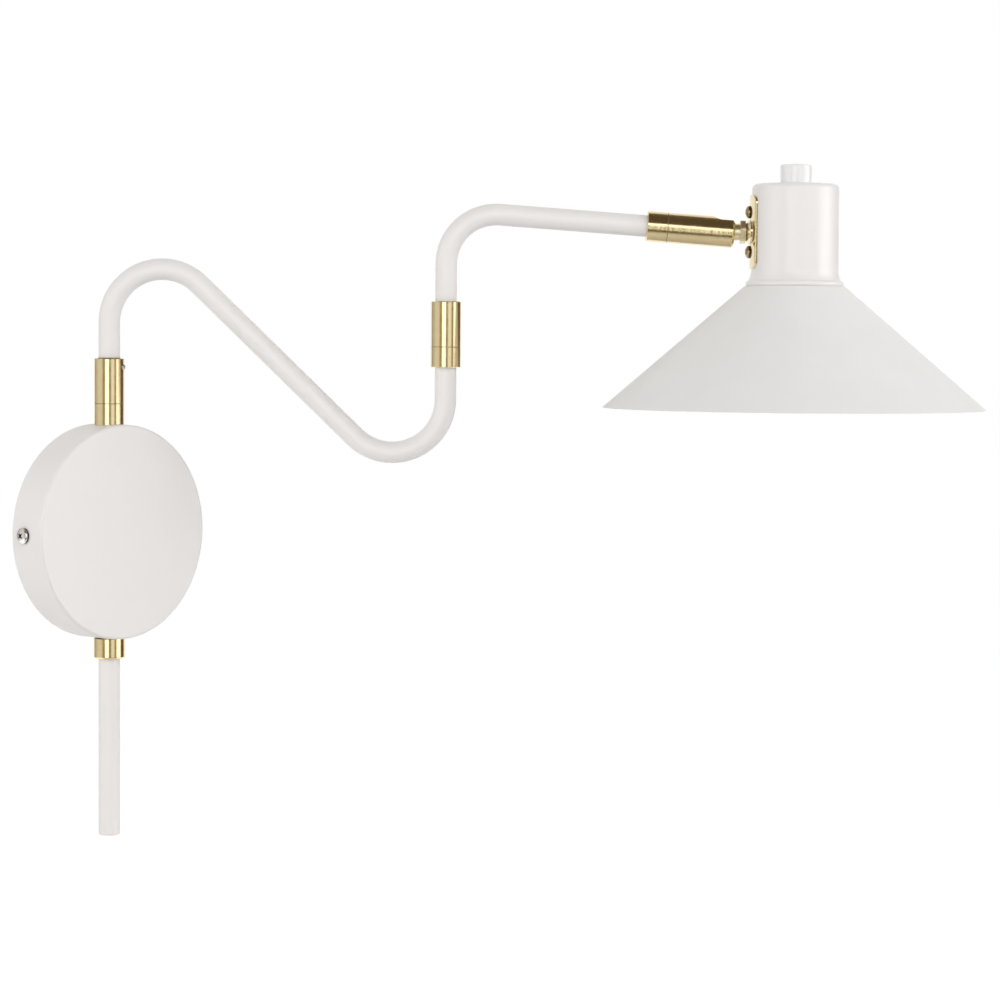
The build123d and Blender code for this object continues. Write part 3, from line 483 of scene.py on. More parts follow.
WHITE_PAINT = CoatedFinish("Satin_White_Paint", linear(230, 226, 223), linear(229, 225, 222), 0.42,
                           grain_per_metre=1100.0, grain_depth=0.008 * MM, coat=0.1, coat_roughness=0.3)
TUBE_PAINT = replace(WHITE_PAINT, name="Satin_White_Tube_Paint", rounding=0.0)
NECK_PAINT = CoatedFinish("Gloss_White_Enamel", linear(229, 226, 224), linear(228, 225, 223), 0.3,
                          roughness_drift=0.01, grain_per_metre=500.0, grain_depth=0.003 * MM,
                          coat=0.12, coat_roughness=0.25)
SHADE_PAINT = CoatedFinish("Matt_White_Powder_Coat", linear(229, 227, 225), linear(227, 225, 223), 0.62,
                           grain_per_metre=1500.0, grain_depth=0.012 * MM)
KNOB_PLASTIC = CoatedFinish("Gloss_White_Plastic", linear(238, 237, 236), linear(235, 234, 233), 0.16,
                            grain_per_metre=300.0, grain_depth=0.004 * MM, coat=0.4, coat_roughness=0.06,
                            subsurface=0.08)
NYLON = CoatedFinish("Natural_Nylon", linear(214, 210, 200), linear(204, 199, 187), 0.45, subsurface=0.1)
# Painted shade: a dark brown that stands in for the shade in the collars' seams and in the gap where the first
# tube enters its sleeve.
PAINTED_SHADE_NYLON = CoatedFinish("Painted_Shade_Nylon", linear(104, 84, 52), linear(90, 72, 44), 0.5, rounding=0.0)
BLOCK_PLASTIC = CoatedFinish("Moulded_Block_Plastic", linear(225, 223, 216), linear(216, 213, 205), 0.38)
SOCKET_PLASTIC = CoatedFinish("Moulded_Phenolic", linear(40, 38, 37), linear(30, 29, 28), 0.34)
SATIN_BRASS = MetalFinish("Satin_Brass_Upright", linear(237, 220, 178), linear(229, 209, 162), 0.16,
                          roughness_drift=0.03, along=Along.UPRIGHT, line_depth=0.014 * MM)
SATIN_BRASS_END = replace(SATIN_BRASS, name="Satin_Brass_End_Collar", roughness=0.15,
                          along=Along.END_COLLAR, line_depth=0.045 * MM)
POLISHED_BRASS = MetalFinish("Polished_Brass", linear(240, 229, 198), linear(231, 217, 178), 0.12,
                             roughness_drift=0.02, along=Along.STEM, line_depth=0.002 * MM,
                             rounding=0.5 * MM)
# Painted highlight: the ball stem and ring nut get a paler brass than the rest of the polished brass, standing in
# for the light their flats reflect.
LIGHTENED_STEM_BRASS = MetalFinish("Lightened_Brass_Stem", linear(253, 243, 212), linear(244, 230, 188), 0.36,
                         roughness_drift=0.03, along=Along.STEM, line_depth=0.01 * MM)
DARK_BRASS = MetalFinish("Bronzed_Screw_Brass", linear(190, 171, 134), linear(166, 146, 108), 0.24)
ZINC = MetalFinish("Zinc_Plated_Steel", linear(232, 231, 229), linear(220, 219, 217), 0.22,
                   line_depth=0.002 * MM)
BLACK_STEEL = MetalFinish("Black_Oxide_Steel", linear(70, 68, 66), linear(48, 46, 45), 0.35)
GREEN_STEEL = MetalFinish("Green_Dyed_Zinc", linear(72, 150, 92), linear(50, 120, 70), 0.3)
CONTACT_BRASS = MetalFinish("Bright_Contact_Brass", linear(222, 200, 140), linear(200, 172, 108), 0.18)

SLOT_FINISH = {
    "white_paint": WHITE_PAINT, "neck_paint": NECK_PAINT, "shade_paint": SHADE_PAINT,
    "satin_brass": SATIN_BRASS, "polished_brass": POLISHED_BRASS, "dark_brass": DARK_BRASS,
    "contact_brass": CONTACT_BRASS, "zinc_steel": ZINC, "black_steel": BLACK_STEEL,
    "green_steel": GREEN_STEEL, "nylon": NYLON, "dark_nylon": PAINTED_SHADE_NYLON,
    "block_plastic": BLOCK_PLASTIC, "socket_plastic": SOCKET_PLASTIC, "knob_plastic": KNOB_PLASTIC,
}
NODE_FINISH = {
    "end_collar_base": SATIN_BRASS_END, "end_sleeve": SATIN_BRASS_END,
    "ball_stem": LIGHTENED_STEM_BRASS, "ring_nut": LIGHTENED_STEM_BRASS,
}


class FinishShop:
    """Keeps one material for each finish and gives it to pieces."""

    def __init__(self) -> None:
        """Start with no materials."""
        self.made: dict[str, bpy.types.Material] = {}

    def material(self, finish: Any) -> bpy.types.Material:
        """Find the material of a finish, building it the first time.

        Args:
            finish: A coated or a metal finish.

        Returns:
            Its material.
        """
        if finish.name not in self.made:
            self.made[finish.name] = finish.build()
        return self.made[finish.name]

    def for_node(self, node: str) -> Any:
        """Finish of a CAD node."""
        return NODE_FINISH.get(node, SLOT_FINISH[SLOT_OF[node]])

    def dress(self, piece: bpy.types.Object, finish: Any) -> None:
        """Give a piece one finish all over."""
        piece.data.materials.clear()
        piece.data.materials.append(self.material(finish))

    def dress_frame(self) -> None:
        """Give every CAD node the finish of its material slot."""
        for name, node in frame["nodes"].items():
            self.dress(node, self.for_node(name))
        LOG.info("dressed %d CAD nodes", len(frame["nodes"]))


# ---------------------------------------------------------------- mesh making


def ring_point(radius: float, share: float, height: float) -> Vector:
    """Point on a circle round local Z, at a share of the full turn."""
    turn = 2 * math.pi * share
    return Vector((radius * math.cos(turn), radius * math.sin(turn), height))


def closed_mesh(form: bmesh.types.BMesh, name: str) -> bpy.types.Mesh:
    """Turn a closed form's faces outwards and keep it as a mesh.

    Args:
        form: The form, which is freed.
        name: Name of the mesh.

    Returns:
        The mesh.
    """
    bmesh.ops.recalc_face_normals(form, faces=form.faces)
    mesh = bpy.data.meshes.new(name)
    form.to_mesh(mesh)
    form.free()
    return mesh


def lathe(profile: Sequence[Point], steps: int = 96) -> bpy.types.Mesh:
    """Turn a closed outline round local Z.

    Args:
        profile: Radius and height of each corner, in metres, in order round the outline.
        steps: Faces round the circle.

    Returns:
        A closed mesh with outward faces.
    """
    form = bmesh.new()
    rings = []
    for radius, height in profile:
        if radius == 0.0:
            rings.append([form.verts.new((0.0, 0.0, height))] * steps)
        else:
            rings.append([form.verts.new(ring_point(radius, n / steps, height)) for n in range(steps)])
    for here, there in zip(rings, rings[1:] + rings[:1]):
        for n in range(steps):
            corners = []
            for vert in (here[n], here[(n + 1) % steps], there[(n + 1) % steps], there[n]):
                if vert not in corners:
                    corners.append(vert)
            if len(corners) > 2:
                form.faces.new(corners)
    return closed_mesh(form, "lathe")


def threaded_shell(outer: float, wall: float, depth: float, pitch: float, low: float, high: float,
                   sides: int = 64, rings_per_turn: int = 10) -> bpy.types.Mesh:
    """Thin shell with a rolled thread, round local Z.

    Args:
        outer: Largest radius of the outside.
        wall: Thickness of the shell.
        depth: Height of the thread's wave.
        pitch: Distance from one thread to the next.
        low: Height of the lower end.
        high: Height of the upper end.
        sides: Faces round the shell.
        rings_per_turn: Rings in each pitch.

    Returns:
        A closed mesh with outward faces.
    """
    form = bmesh.new()
    rings = math.ceil((high - low) / pitch * rings_per_turn)
    skins = []
    for inset in (0.0, wall):
        skin = []
        for step in range(rings + 1):
            z = low + (high - low) * step / rings
            row = []
            for n in range(sides):
                turn = n / sides
                wave = 0.5 - 0.5 * math.cos(2 * math.pi * ((z - low) / pitch - turn))
                row.append(form.verts.new(ring_point(outer - inset - depth * wave, turn, z)))
            skin.append(row)
        skins.append(skin)
    walk = skins[0] + skins[1][::-1]
    for here, there in zip(walk, walk[1:] + walk[:1]):
        for n in range(sides):
            after = (n + 1) % sides
            form.faces.new((here[n], here[after], there[after], there[n]))
    return closed_mesh(form, "threaded_shell")


def new_object(name: str, mesh: bpy.types.Mesh) -> bpy.types.Object:
    """Put a mesh in the scene as an object at the origin.

    Args:
        name: Name of the object.
        mesh: Its mesh.

    Returns:
        The object.
    """
    piece = bpy.data.objects.new(name, mesh)
    bpy.context.scene.collection.objects.link(piece)
    return piece


def smooth_by_angle(mesh: bpy.types.Mesh, degrees: float = 30.0) -> None:
    """Shade a mesh smooth except across sharp edges.

    Args:
        mesh: The mesh.
        degrees: Largest turn across an edge that stays smooth.
    """
    mesh.shade_smooth()
    form = bmesh.new()
    form.from_mesh(mesh)
    limit = math.radians(degrees)
    for edge in form.edges:
        if len(edge.link_faces) == 2 and edge.calc_face_angle() > limit:
            edge.smooth = False
    form.to_mesh(mesh)
    form.free()


def evaluated_mesh(piece: bpy.types.Object) -> bpy.types.Mesh:
    """Copy a piece's mesh with its modifiers applied.

    Args:
        piece: The piece, which stays as it is.

    Returns:
        The new mesh.
    """
    bpy.context.view_layer.update()
    graph = bpy.context.evaluated_depsgraph_get()
    return bpy.data.meshes.new_from_object(piece.evaluated_get(graph))


class GeometryRecipe:
    """A geometry node tree with named inputs that is run once and kept as a plain mesh."""

    def __init__(self, name: str, inputs: dict[str, tuple[str, Any]]) -> None:
        """Make the tree and its sockets.

        Args:
            name: Name of the tree.
            inputs: Socket type and default of each input, by name.
        """
        self.tree = bpy.data.node_groups.new(name, "GeometryNodeTree")
        self.graph = Graph(self.tree)
        self.tree.interface.new_socket("Geometry", in_out="INPUT", socket_type="NodeSocketGeometry")
        for label, (kind, default) in inputs.items():
            add_input(self.tree, label, kind, default)
        self.tree.interface.new_socket("Geometry", in_out="OUTPUT", socket_type="NodeSocketGeometry")
        self.given = self.graph.add("NodeGroupInput").outputs

    def end(self, geometry: bpy.types.NodeSocket) -> None:
        """Close the tree with Realize Instances and Set Material.

        Args:
            geometry: Output socket of the tree's last shape.
        """
        real = self.graph.add("GeometryNodeRealizeInstances", {"Geometry": geometry})
        dressed = self.graph.add("GeometryNodeSetMaterial", {
            "Geometry": real.outputs[0], "Material": self.given["Material"]})
        self.graph.add("NodeGroupOutput", {"Geometry": dressed.outputs[0]})

    def run(self, name: str, start: bpy.types.Mesh, values: dict[str, Any]) -> bpy.types.Object:
        """Run the tree on a mesh and keep the result.

        Args:
            name: Name of the new piece.
            start: Mesh that the tree starts from.
            values: Value of each named input.

        Returns:
            A plain mesh object with no modifier left on it.
        """
        piece = new_object(name, start)
        modifier = piece.modifiers.new("Recipe", "NODES")
        modifier.node_group = self.tree
        keys = {item.name: item.identifier for item in self.tree.interface.items_tree
                if item.item_type == "SOCKET" and item.in_out == "INPUT"}
        for label, value in values.items():
            modifier[keys[label]] = value
        mesh = evaluated_mesh(piece)
        piece.modifiers.remove(modifier)
        piece.data = mesh
        return piece


def bent_tube_recipe() -> GeometryRecipe:
    """Round tube along a line whose corners are bent to one radius.

    Returns:
        The recipe, which starts from a mesh of edges.
    """
    recipe = GeometryRecipe("Bent_Tube", {
        "Tube Radius": ("Float", 6.35 * MM), "Bend Radius": ("Float", 30.0 * MM),
        "Bend Steps": ("Int", 48), "Sides": ("Int", 48), "Material": ("Material", None)})
    graph, given = recipe.graph, recipe.given
    line = graph.add("GeometryNodeMeshToCurve", {"Mesh": given["Geometry"]}).outputs[0]
    bent = graph.add("GeometryNodeFilletCurve", {
        "Curve": line, "Count": given["Bend Steps"],
        "Radius": given["Bend Radius"]}, mode="POLY").outputs[0]
    ring = graph.add("GeometryNodeCurvePrimitiveCircle", {
        "Resolution": given["Sides"], "Radius": given["Tube Radius"]}).outputs[0]
    skin = graph.add("GeometryNodeCurveToMesh", {"Curve": bent, "Profile Curve": ring, "Fill Caps": True})
    recipe.end(graph.add("GeometryNodeSetShadeSmooth", {"Geometry": skin.outputs[0]}).outputs[0])
    return recipe


def placed_copies_recipe() -> GeometryRecipe:
    """Copies of one piece on points, each facing the way its point says.

    Returns:
        The recipe, which starts from a mesh of points.
    """
    recipe = GeometryRecipe("Placed_Copies", {"Piece": ("Object", None), "Material": ("Material", None)})
    graph, given = recipe.graph, recipe.given
    piece = graph.add("GeometryNodeObjectInfo", {"Object": given["Piece"]}).outputs["Geometry"]
    facing = graph.add("GeometryNodeInputNamedAttribute", {"Name": "facing"}, data_type="FLOAT_VECTOR")
    turn = graph.add("FunctionNodeAlignRotationToVector", {"Vector": facing.outputs[0]}, axis="Z")
    points = graph.add("GeometryNodeMeshToPoints", {"Mesh": given["Geometry"]}).outputs[0]
    copies = graph.add("GeometryNodeInstanceOnPoints", {
        "Points": points, "Instance": piece, "Rotation": turn.outputs[0]})
    recipe.end(copies.outputs[0])
    return recipe


def settle(piece: bpy.types.Object, body: Body, replaced: Sequence[str]) -> bpy.types.Object:
    """Let a finished piece ride on its body and stand for CAD nodes.

    Args:
        piece: The finished piece.
        body: Body that it moves with.
        replaced: CAD nodes that it stands for.

    Returns:
        The same piece.
    """
    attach(piece, body.value)
    if replaced:
        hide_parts(*replaced)
    LOG.info("%s: %d faces on %s", piece.name, len(piece.data.polygons), body.value)
    return piece


# ---------------------------------------------------------------- the sconce


@dataclass
class SwingArm:
    """A bent tube arm between two collars."""

    shop: FinishShop
    recipe: GeometryRecipe
    tube_radius: float = 6.35 * MM
    seat_in_sleeve: float = 13.6 * MM
    seat_in_base: float = 8.0 * MM

    def tube(self, name: str, corners: Sequence[Vector], bend_radius: float) -> bpy.types.Object:
        """Make a tube through corners that are bent to a radius.

        Args:
            name: Name of the piece.
            corners: Ends and corners of its centreline.
            bend_radius: Radius of the bends at the centreline.

        Returns:
            The tube.
        """
        line = bpy.data.meshes.new(name)
        edges = [(n, n + 1) for n in range(len(corners) - 1)]
        line.from_pydata([tuple(corner) for corner in corners], edges, [])
        return self.recipe.run(name, line, {
            "Tube Radius": self.tube_radius, "Bend Radius": bend_radius,
            "Material": self.shop.material(TUBE_PAINT)})


@dataclass
class FirstArm(SwingArm):
    """Arm that rises from the canopy, dips to a trough and rises to the middle collar."""

    bend_radius: float = 31.5 * MM

    def build(self) -> bpy.types.Object:
        """Build the arm from the heights of its CAD tube.

        Returns:
            The tube.
        """
        low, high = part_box("arm_tube_1")
        inner, outer = middle_of("upper_collar_base"), middle_of("middle_collar_base")
        reach = (outer - inner).to_2d().length
        out = Vector(((outer - inner).x, (outer - inner).y, 0.0)).normalized()
        radius = self.bend_radius
        crest = high.z - self.tube_radius - radius
        trough = low.z + self.tube_radius + radius
        width, drop = reach - 2 * radius, crest - trough
        slant = math.atan2(drop, width) + math.asin(2 * radius / math.hypot(width, drop))
        slope = math.tan(slant)
        first = crest + radius * math.cos(slant) + radius * (1 + math.sin(slant)) * slope
        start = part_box("upper_collar_sleeve")[1].z - self.seat_in_sleeve
        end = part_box("middle_collar_base")[0].z + self.seat_in_base
        heights = ((0.0, start), (0.0, first), (reach, first - reach * slope), (reach, end))
        corners = [Vector((inner.x, inner.y, height)) + out * along for along, height in heights]
        piece = self.tube("first_arm_tube", corners, radius)
        return settle(piece, Body.ARM_1, ["arm_tube_1"])


@dataclass
class SecondArm(SwingArm):
    """Arm that rises from the middle collar and runs out to the end collar."""

    bend_radius: float = 29.3 * MM

    def build(self) -> bpy.types.Object:
        """Build the arm from the middle collar's axis and the end collar's.

        Returns:
            The tube.
        """
        foot, along = joint_place("sleeve_twist")
        base = middle_of("middle_collar_base")
        back = (foot - base).to_2d().length / along.to_2d().length
        corner = foot - along * back
        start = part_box("middle_collar_sleeve")[1].z - self.seat_in_sleeve
        corners = [Vector((base.x, base.y, start)), corner, foot + along * self.seat_in_base]
        piece = self.tube("second_arm_tube", corners, self.bend_radius)
        return settle(piece, Body.ARM_2, ["arm_tube_2"])


@dataclass
class CrossScrews:
    """Pan head screws with a cross recess, copied to where they are driven in.

    Each share is of the head's radius or height, of the recess's width at its top for its floor,
    or of the shank's radius for its tip.
    """

    shop: FinishShop
    recipe: GeometryRecipe
    head_radius: float
    head_height: float
    shank_radius: float
    length: float
    recess_share: float = 0.6
    recess_turn: float = 0.0
    blade_share: float = 0.16
    shoulder_share: float = 0.2
    rim_radius_share: float = 0.96
    rim_height_share: float = 0.06
    tip_radius_share: float = 0.7
    tip_length_share: float = 0.4
    recess_depth_share: float = 0.75
    floor_reach_share: float = 0.4
    floor_blade_share: float = 0.7
    cutter_height_share: float = 1.2
    edge_radius_share: float = 0.98
    recess_lip: float = 0.1 * MM
    dome_steps: int = 10
    sides: int = 64

    @property
    def shoulder(self) -> float:
        """Height at which the head's upright edge meets its dome."""
        return self.head_height * self.shoulder_share

    def outline(self) -> list[Point]:
        """Draw half of the screw's section.

        Returns:
            Radius and height of each corner, from the tip to the top.
        """
        radius, height, shank = self.head_radius, self.head_height, self.shank_radius
        turns = [math.radians(90.0 * n / self.dome_steps) for n in range(self.dome_steps)]
        rise = height - self.shoulder
        dome = [(radius * math.cos(turn), self.shoulder + rise * math.sin(turn)) for turn in turns]
        return [(0.0, -self.length), (shank * self.tip_radius_share, -self.length),
                (shank, -self.length + shank * self.tip_length_share), (shank, 0.0),
                (radius * self.rim_radius_share, 0.0), (radius, height * self.rim_height_share),
                *dome, (0.0, height)]

    def cutter(self) -> bpy.types.Object:
        """Make the two crossed wedges that cut the recess.

        Returns:
            The cutter.
        """
        reach, blade = self.head_radius * self.recess_share, self.head_radius * self.blade_share
        floor = self.head_height * (1 - self.recess_depth_share)
        top = self.head_height * self.cutter_height_share
        form = bmesh.new()
        for turn in (self.recess_turn, self.recess_turn + math.pi / 2):
            wedge = bmesh.ops.create_cube(form, size=2.0)["verts"]
            for vert in wedge:
                if vert.co.z > 0:
                    vert.co = Vector((vert.co.x * reach, vert.co.y * blade, top))
                else:
                    vert.co = Vector((vert.co.x * reach * self.floor_reach_share,
                                      vert.co.y * blade * self.floor_blade_share, floor))
            bmesh.ops.rotate(form, verts=wedge, matrix=Matrix.Rotation(turn, 3, "Z"))
        mesh = bpy.data.meshes.new("recess")
        form.to_mesh(mesh)
        form.free()
        return new_object("recess", mesh)

    def model(self) -> bpy.types.Object:
        """Make one screw with its head above z = 0 and its shank below.

        Returns:
            The screw.
        """
        screw = new_object("screw", lathe(self.outline(), self.sides))
        tool = self.cutter()
        cut = screw.modifiers.new("Recess", "BOOLEAN")
        cut.operation = "DIFFERENCE"
        cut.solver = "EXACT"
        cut.object = tool
        cut.use_self = True
        mesh = evaluated_mesh(screw)
        screw.modifiers.remove(cut)
        screw.data = mesh
        smooth_by_angle(mesh)
        self.darken(mesh)
        bpy.data.objects.remove(tool)
        return screw

    def darken(self, mesh: bpy.types.Mesh) -> None:
        """Mark the faces of the recess and of the head's upright edge for painted shade, which stands in for the
        shade in the recess and the dark crescent along the head's edge.

        Args:
            mesh: Mesh of one screw, with its head above z = 0.
        """
        rim = self.head_height * self.rim_height_share
        painted_shade = mesh.attributes.new(PAINTED_SHADE, "FLOAT", "FACE")
        for face in mesh.polygons:
            spot = face.center
            away = min(1.0, math.hypot(spot.x, spot.y) / self.head_radius)
            dome = self.shoulder + (self.head_height - self.shoulder) * math.sqrt(1.0 - away * away)
            in_recess = away < self.recess_share and 0.0 < spot.z < dome - self.recess_lip
            on_edge = away > self.edge_radius_share and rim < spot.z < self.shoulder
            painted_shade.data[face.index].value = float(in_recess or on_edge)

    def build(self, name: str, places: Sequence[tuple[Vector, Vector]], finish: MetalFinish, body: Body,
              slot: str, node: str) -> bpy.types.Object:
        """Copy the screw to its places.

        Args:
            name: Name of the piece.
            places: Seat and outward direction of each screw.
            finish: Finish of the screws.
            body: Body that they ride on.
            slot: Material slot of the record; not used.
            node: CAD node that they stand for.

        Returns:
            All the screws as one piece.
        """
        points = bpy.data.meshes.new(name)
        points.from_pydata([tuple(seat) for seat, _ in places], [], [])
        facing = points.attributes.new("facing", "FLOAT_VECTOR", "POINT")
        facing.data.foreach_set("vector", [number for _, way in places for number in way])
        screw = self.model()
        piece = self.recipe.run(name, points, {"Piece": screw, "Material": self.shop.material(finish)})
        bpy.data.objects.remove(screw)
        return settle(piece, body, [node])


@dataclass
class Fittings:
    """Small pieces that dress the CAD hardware."""

    shop: FinishShop
    copies: GeometryRecipe
    neck_radius: float = 25.6 * MM
    plate_thickness: float = 1.3 * MM
    tube_radius: float = 6.35 * MM
    shell_wall: float = 0.35 * MM
    thread_depth: float = 0.8 * MM
    thread_pitch: float = 3.6 * MM
    # Size of the dark ring that paints the shadow gap where the first tube enters its sleeve.
    shadow_ring_start: float = 0.02 * MM
    shadow_ring_end: float = 0.32 * MM
    shadow_ring_rise: float = 0.4 * MM
    shadow_ring_edge_share: float = 0.6

    def side_screws(self) -> bpy.types.Object:
        """Make the two domed screws that hold the canopy to its bracket.

        Returns:
            The screws.
        """
        low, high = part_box("canopy_pan")
        side = middle_of("canopy_screws")
        screws = CrossScrews(
            self.shop, self.copies, head_radius=4.7 * MM, head_height=3.0 * MM, shank_radius=2.4 * MM,
            length=8.0 * MM, recess_share=0.44, recess_turn=math.pi / 4, blade_share=0.12,
            shoulder_share=0.4)
        places = [(Vector((x, side.y, side.z)), Vector((way, 0.0, 0.0)))
                  for x, way in ((low.x, -1), (high.x, 1))]
        return screws.build("canopy_side_screws", places, ZINC, Body.WALL_BASE, "zinc_steel",
                            "canopy_screws")

    def plate_screws(self) -> bpy.types.Object:
        """Make the two domed screws through the plate, above and below the stem.

        Returns:
            The screws.
        """
        ball, out = joint_place("head_turn")
        axis = middle_of("neck_cap")
        low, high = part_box("plate_screws")
        screws = CrossScrews(
            self.shop, self.copies, head_radius=3.75 * MM, head_height=2.7 * MM,
            shank_radius=1.75 * MM, length=7.4 * MM)
        rise = (high.z - low.z) / 2 - screws.head_radius
        seat = Vector((axis.x, axis.y, ball.z)) - out * (self.neck_radius + self.plate_thickness)
        places = [(seat + Vector((0.0, 0.0, side * rise)), -out) for side in (-1, 1)]
        return screws.build("plate_dome_screws", places, DARK_BRASS, Body.HEAD, "dark_brass",
                            "plate_screws")

    def screw_shell(self) -> bpy.types.Object:
        """Make the socket's shell with its rolled thread.

        Returns:
            The shell.
        """
        low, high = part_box("screw_shell")
        middle = middle_of("screw_shell")
        mesh = threaded_shell(
            (high.x - low.x) / 2, self.shell_wall, self.thread_depth, self.thread_pitch, low.z, high.z)
        mesh.transform(Matrix.Translation((middle.x, middle.y, 0.0)))
        mesh.shade_smooth()
        piece = new_object("threaded_screw_shell", mesh)
        self.shop.dress(piece, CONTACT_BRASS)
        return settle(piece, Body.HEAD, ["screw_shell"])

    def tube_shadow_ring(self) -> bpy.types.Object:
        """Make the thin dark ring that paints the shadow where the first arm's tube enters its sleeve.

        Returns:
            The dark ring.
        """
        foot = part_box("upper_collar_sleeve")[1].z
        middle = middle_of("upper_collar_sleeve")
        inner, outer = self.tube_radius + self.shadow_ring_start, self.tube_radius + self.shadow_ring_end
        shoulder, top = foot + self.shadow_ring_rise * self.shadow_ring_edge_share, foot + self.shadow_ring_rise
        mesh = lathe([(inner, foot), (outer, foot), (outer, shoulder), (inner, top)])
        mesh.transform(Matrix.Translation((middle.x, middle.y, 0.0)))
        piece = new_object("upper_tube_seal", mesh)
        self.shop.dress(piece, PAINTED_SHADE_NYLON)
        return settle(piece, Body.ARM_1, [])

    def build(self) -> None:
        """Build them in order."""
        self.side_screws()
        self.plate_screws()
        self.screw_shell()
        self.tube_shadow_ring()


# ---------------------------------------------------------------- studio


@dataclass(frozen=True)
class Camera:
    """Where the camera stands, in metres, and how it is turned, in degrees."""

    place: tuple[float, float, float] = (-1.17903, -1.36169, 0.11767)
    heading: float = -48.57
    pitch: float = 3.14
    roll: float = 0.41
    lens: float = 108.0
    sensor: float = 36.0
    clip_end: float = 60.0

    def axes(self) -> tuple[Vector, Vector, Vector]:
        """Work out the camera's own directions.

        Returns:
            Right, up and forward.
        """
        heading, pitch, roll = (math.radians(v) for v in (self.heading, self.pitch, self.roll))
        forward = Vector((-math.sin(heading) * math.cos(pitch), math.cos(heading) * math.cos(pitch),
                          -math.sin(pitch)))
        level = Vector((math.cos(heading), math.sin(heading), 0.0))
        upright = level.cross(forward)
        right = level * math.cos(roll) + upright * math.sin(roll)
        upward = upright * math.cos(roll) - level * math.sin(roll)
        return right, upward, forward

    def build(self) -> None:
        """Make the scene's camera."""
        data = bpy.data.cameras.new("camera")
        data.lens = self.lens
        data.sensor_width = self.sensor
        data.clip_end = self.clip_end
        camera = bpy.data.objects.new("camera", data)
        bpy.context.scene.collection.objects.link(camera)
        right, upward, forward = self.axes()
        turn = Matrix((right, upward, -forward)).transposed()
        camera.matrix_world = Matrix.Translation(self.place) @ turn.to_4x4()
        bpy.context.scene.camera = camera


@dataclass(frozen=True)
class Card:
    """A reflection card that only shiny surfaces see.

    It runs from a start to an end, in degrees to the right of the way to the camera, and from a low
    to a high edge, in degrees above the level.
    """

    name: str
    start: float
    end: float
    low: float
    high: float
    level: float
    tint: tuple[float, float, float, float] = WHITE
    distance: float = 3.2


@dataclass(frozen=True)
class Lamp:
    """A soft square lamp, placed by the same two angles as a card."""

    name: str
    azimuth: float
    elevation: float
    distance: float
    size: float
    power: float


OLIVE_TINT = (1.0, 0.85, 0.5, 1.0)
BROWN_TINT = (1.0, 0.6, 0.28, 1.0)
DUSK_TINT = (1.0, 0.77, 0.49, 1.0)
TAN_TINT = (1.0, 0.98, 0.96, 1.0)
CARDS = (
    Card("card_brown_back", -215.0, -60.0, 60.0, 89.0, 0.2, DUSK_TINT),
    Card("card_pale_back", -215.0, -131.0, -60.0, 60.0, 1.0, TAN_TINT),
    Card("card_dark_back", -131.0, -119.0, -60.0, 60.0, 0.32, OLIVE_TINT),
    Card("card_tan_back", -119.0, -95.0, -60.0, 60.0, 0.6, TAN_TINT),
    Card("card_tan_left", -95.0, -49.0, -60.0, 60.0, 0.79, TAN_TINT),
    Card("card_dark_left", -49.0, -28.0, -40.0, 25.0, 0.37, OLIVE_TINT),
    Card("card_bright_left", -28.0, -1.0, -7.0, 25.0, 2.1),
    Card("card_bright_lower", -28.0, -1.0, -17.0, -7.0, 1.9),
    Card("card_dark_middle", -1.0, 16.0, -17.0, 9.0, 0.22, OLIVE_TINT),
    Card("card_bright_middle", 0.0, 16.0, 9.0, 25.0, 2.2),
    Card("card_soft_middle", 16.0, 44.0, -17.0, 25.0, 1.03),
    Card("card_dark_right", 44.0, 62.0, -40.0, 25.0, 0.3, OLIVE_TINT),
    Card("card_bright_right", 62.0, 100.0, -35.0, 25.0, 2.0),
    Card("card_brown_far", 100.0, 145.0, -60.0, 60.0, 0.14, BROWN_TINT),
    Card("card_brown_top", -60.0, 145.0, 25.0, 89.0, 0.1, DUSK_TINT),
    Card("card_olive_low", -50.0, 60.0, -30.0, -17.0, 0.13, OLIVE_TINT, 1.6),
    Card("card_olive_floor", -50.0, 60.0, -37.0, -24.0, 0.13, OLIVE_TINT, 0.95),
    Card("card_tan_low", -70.0, 110.0, -89.0, -37.0, 0.79, TAN_TINT, 0.9),
)
LAMPS = (
    Lamp("lamp_front", 25.0, 30.0, 2.2, 1.2, 14.0),
    Lamp("lamp_right", 80.0, 15.0, 2.6, 1.4, 29.0),
    Lamp("lamp_left", -60.0, 10.0, 3.2, 2.0, 41.0),
    Lamp("lamp_low", 0.0, -40.0, 1.1, 0.8, 0.6),
)


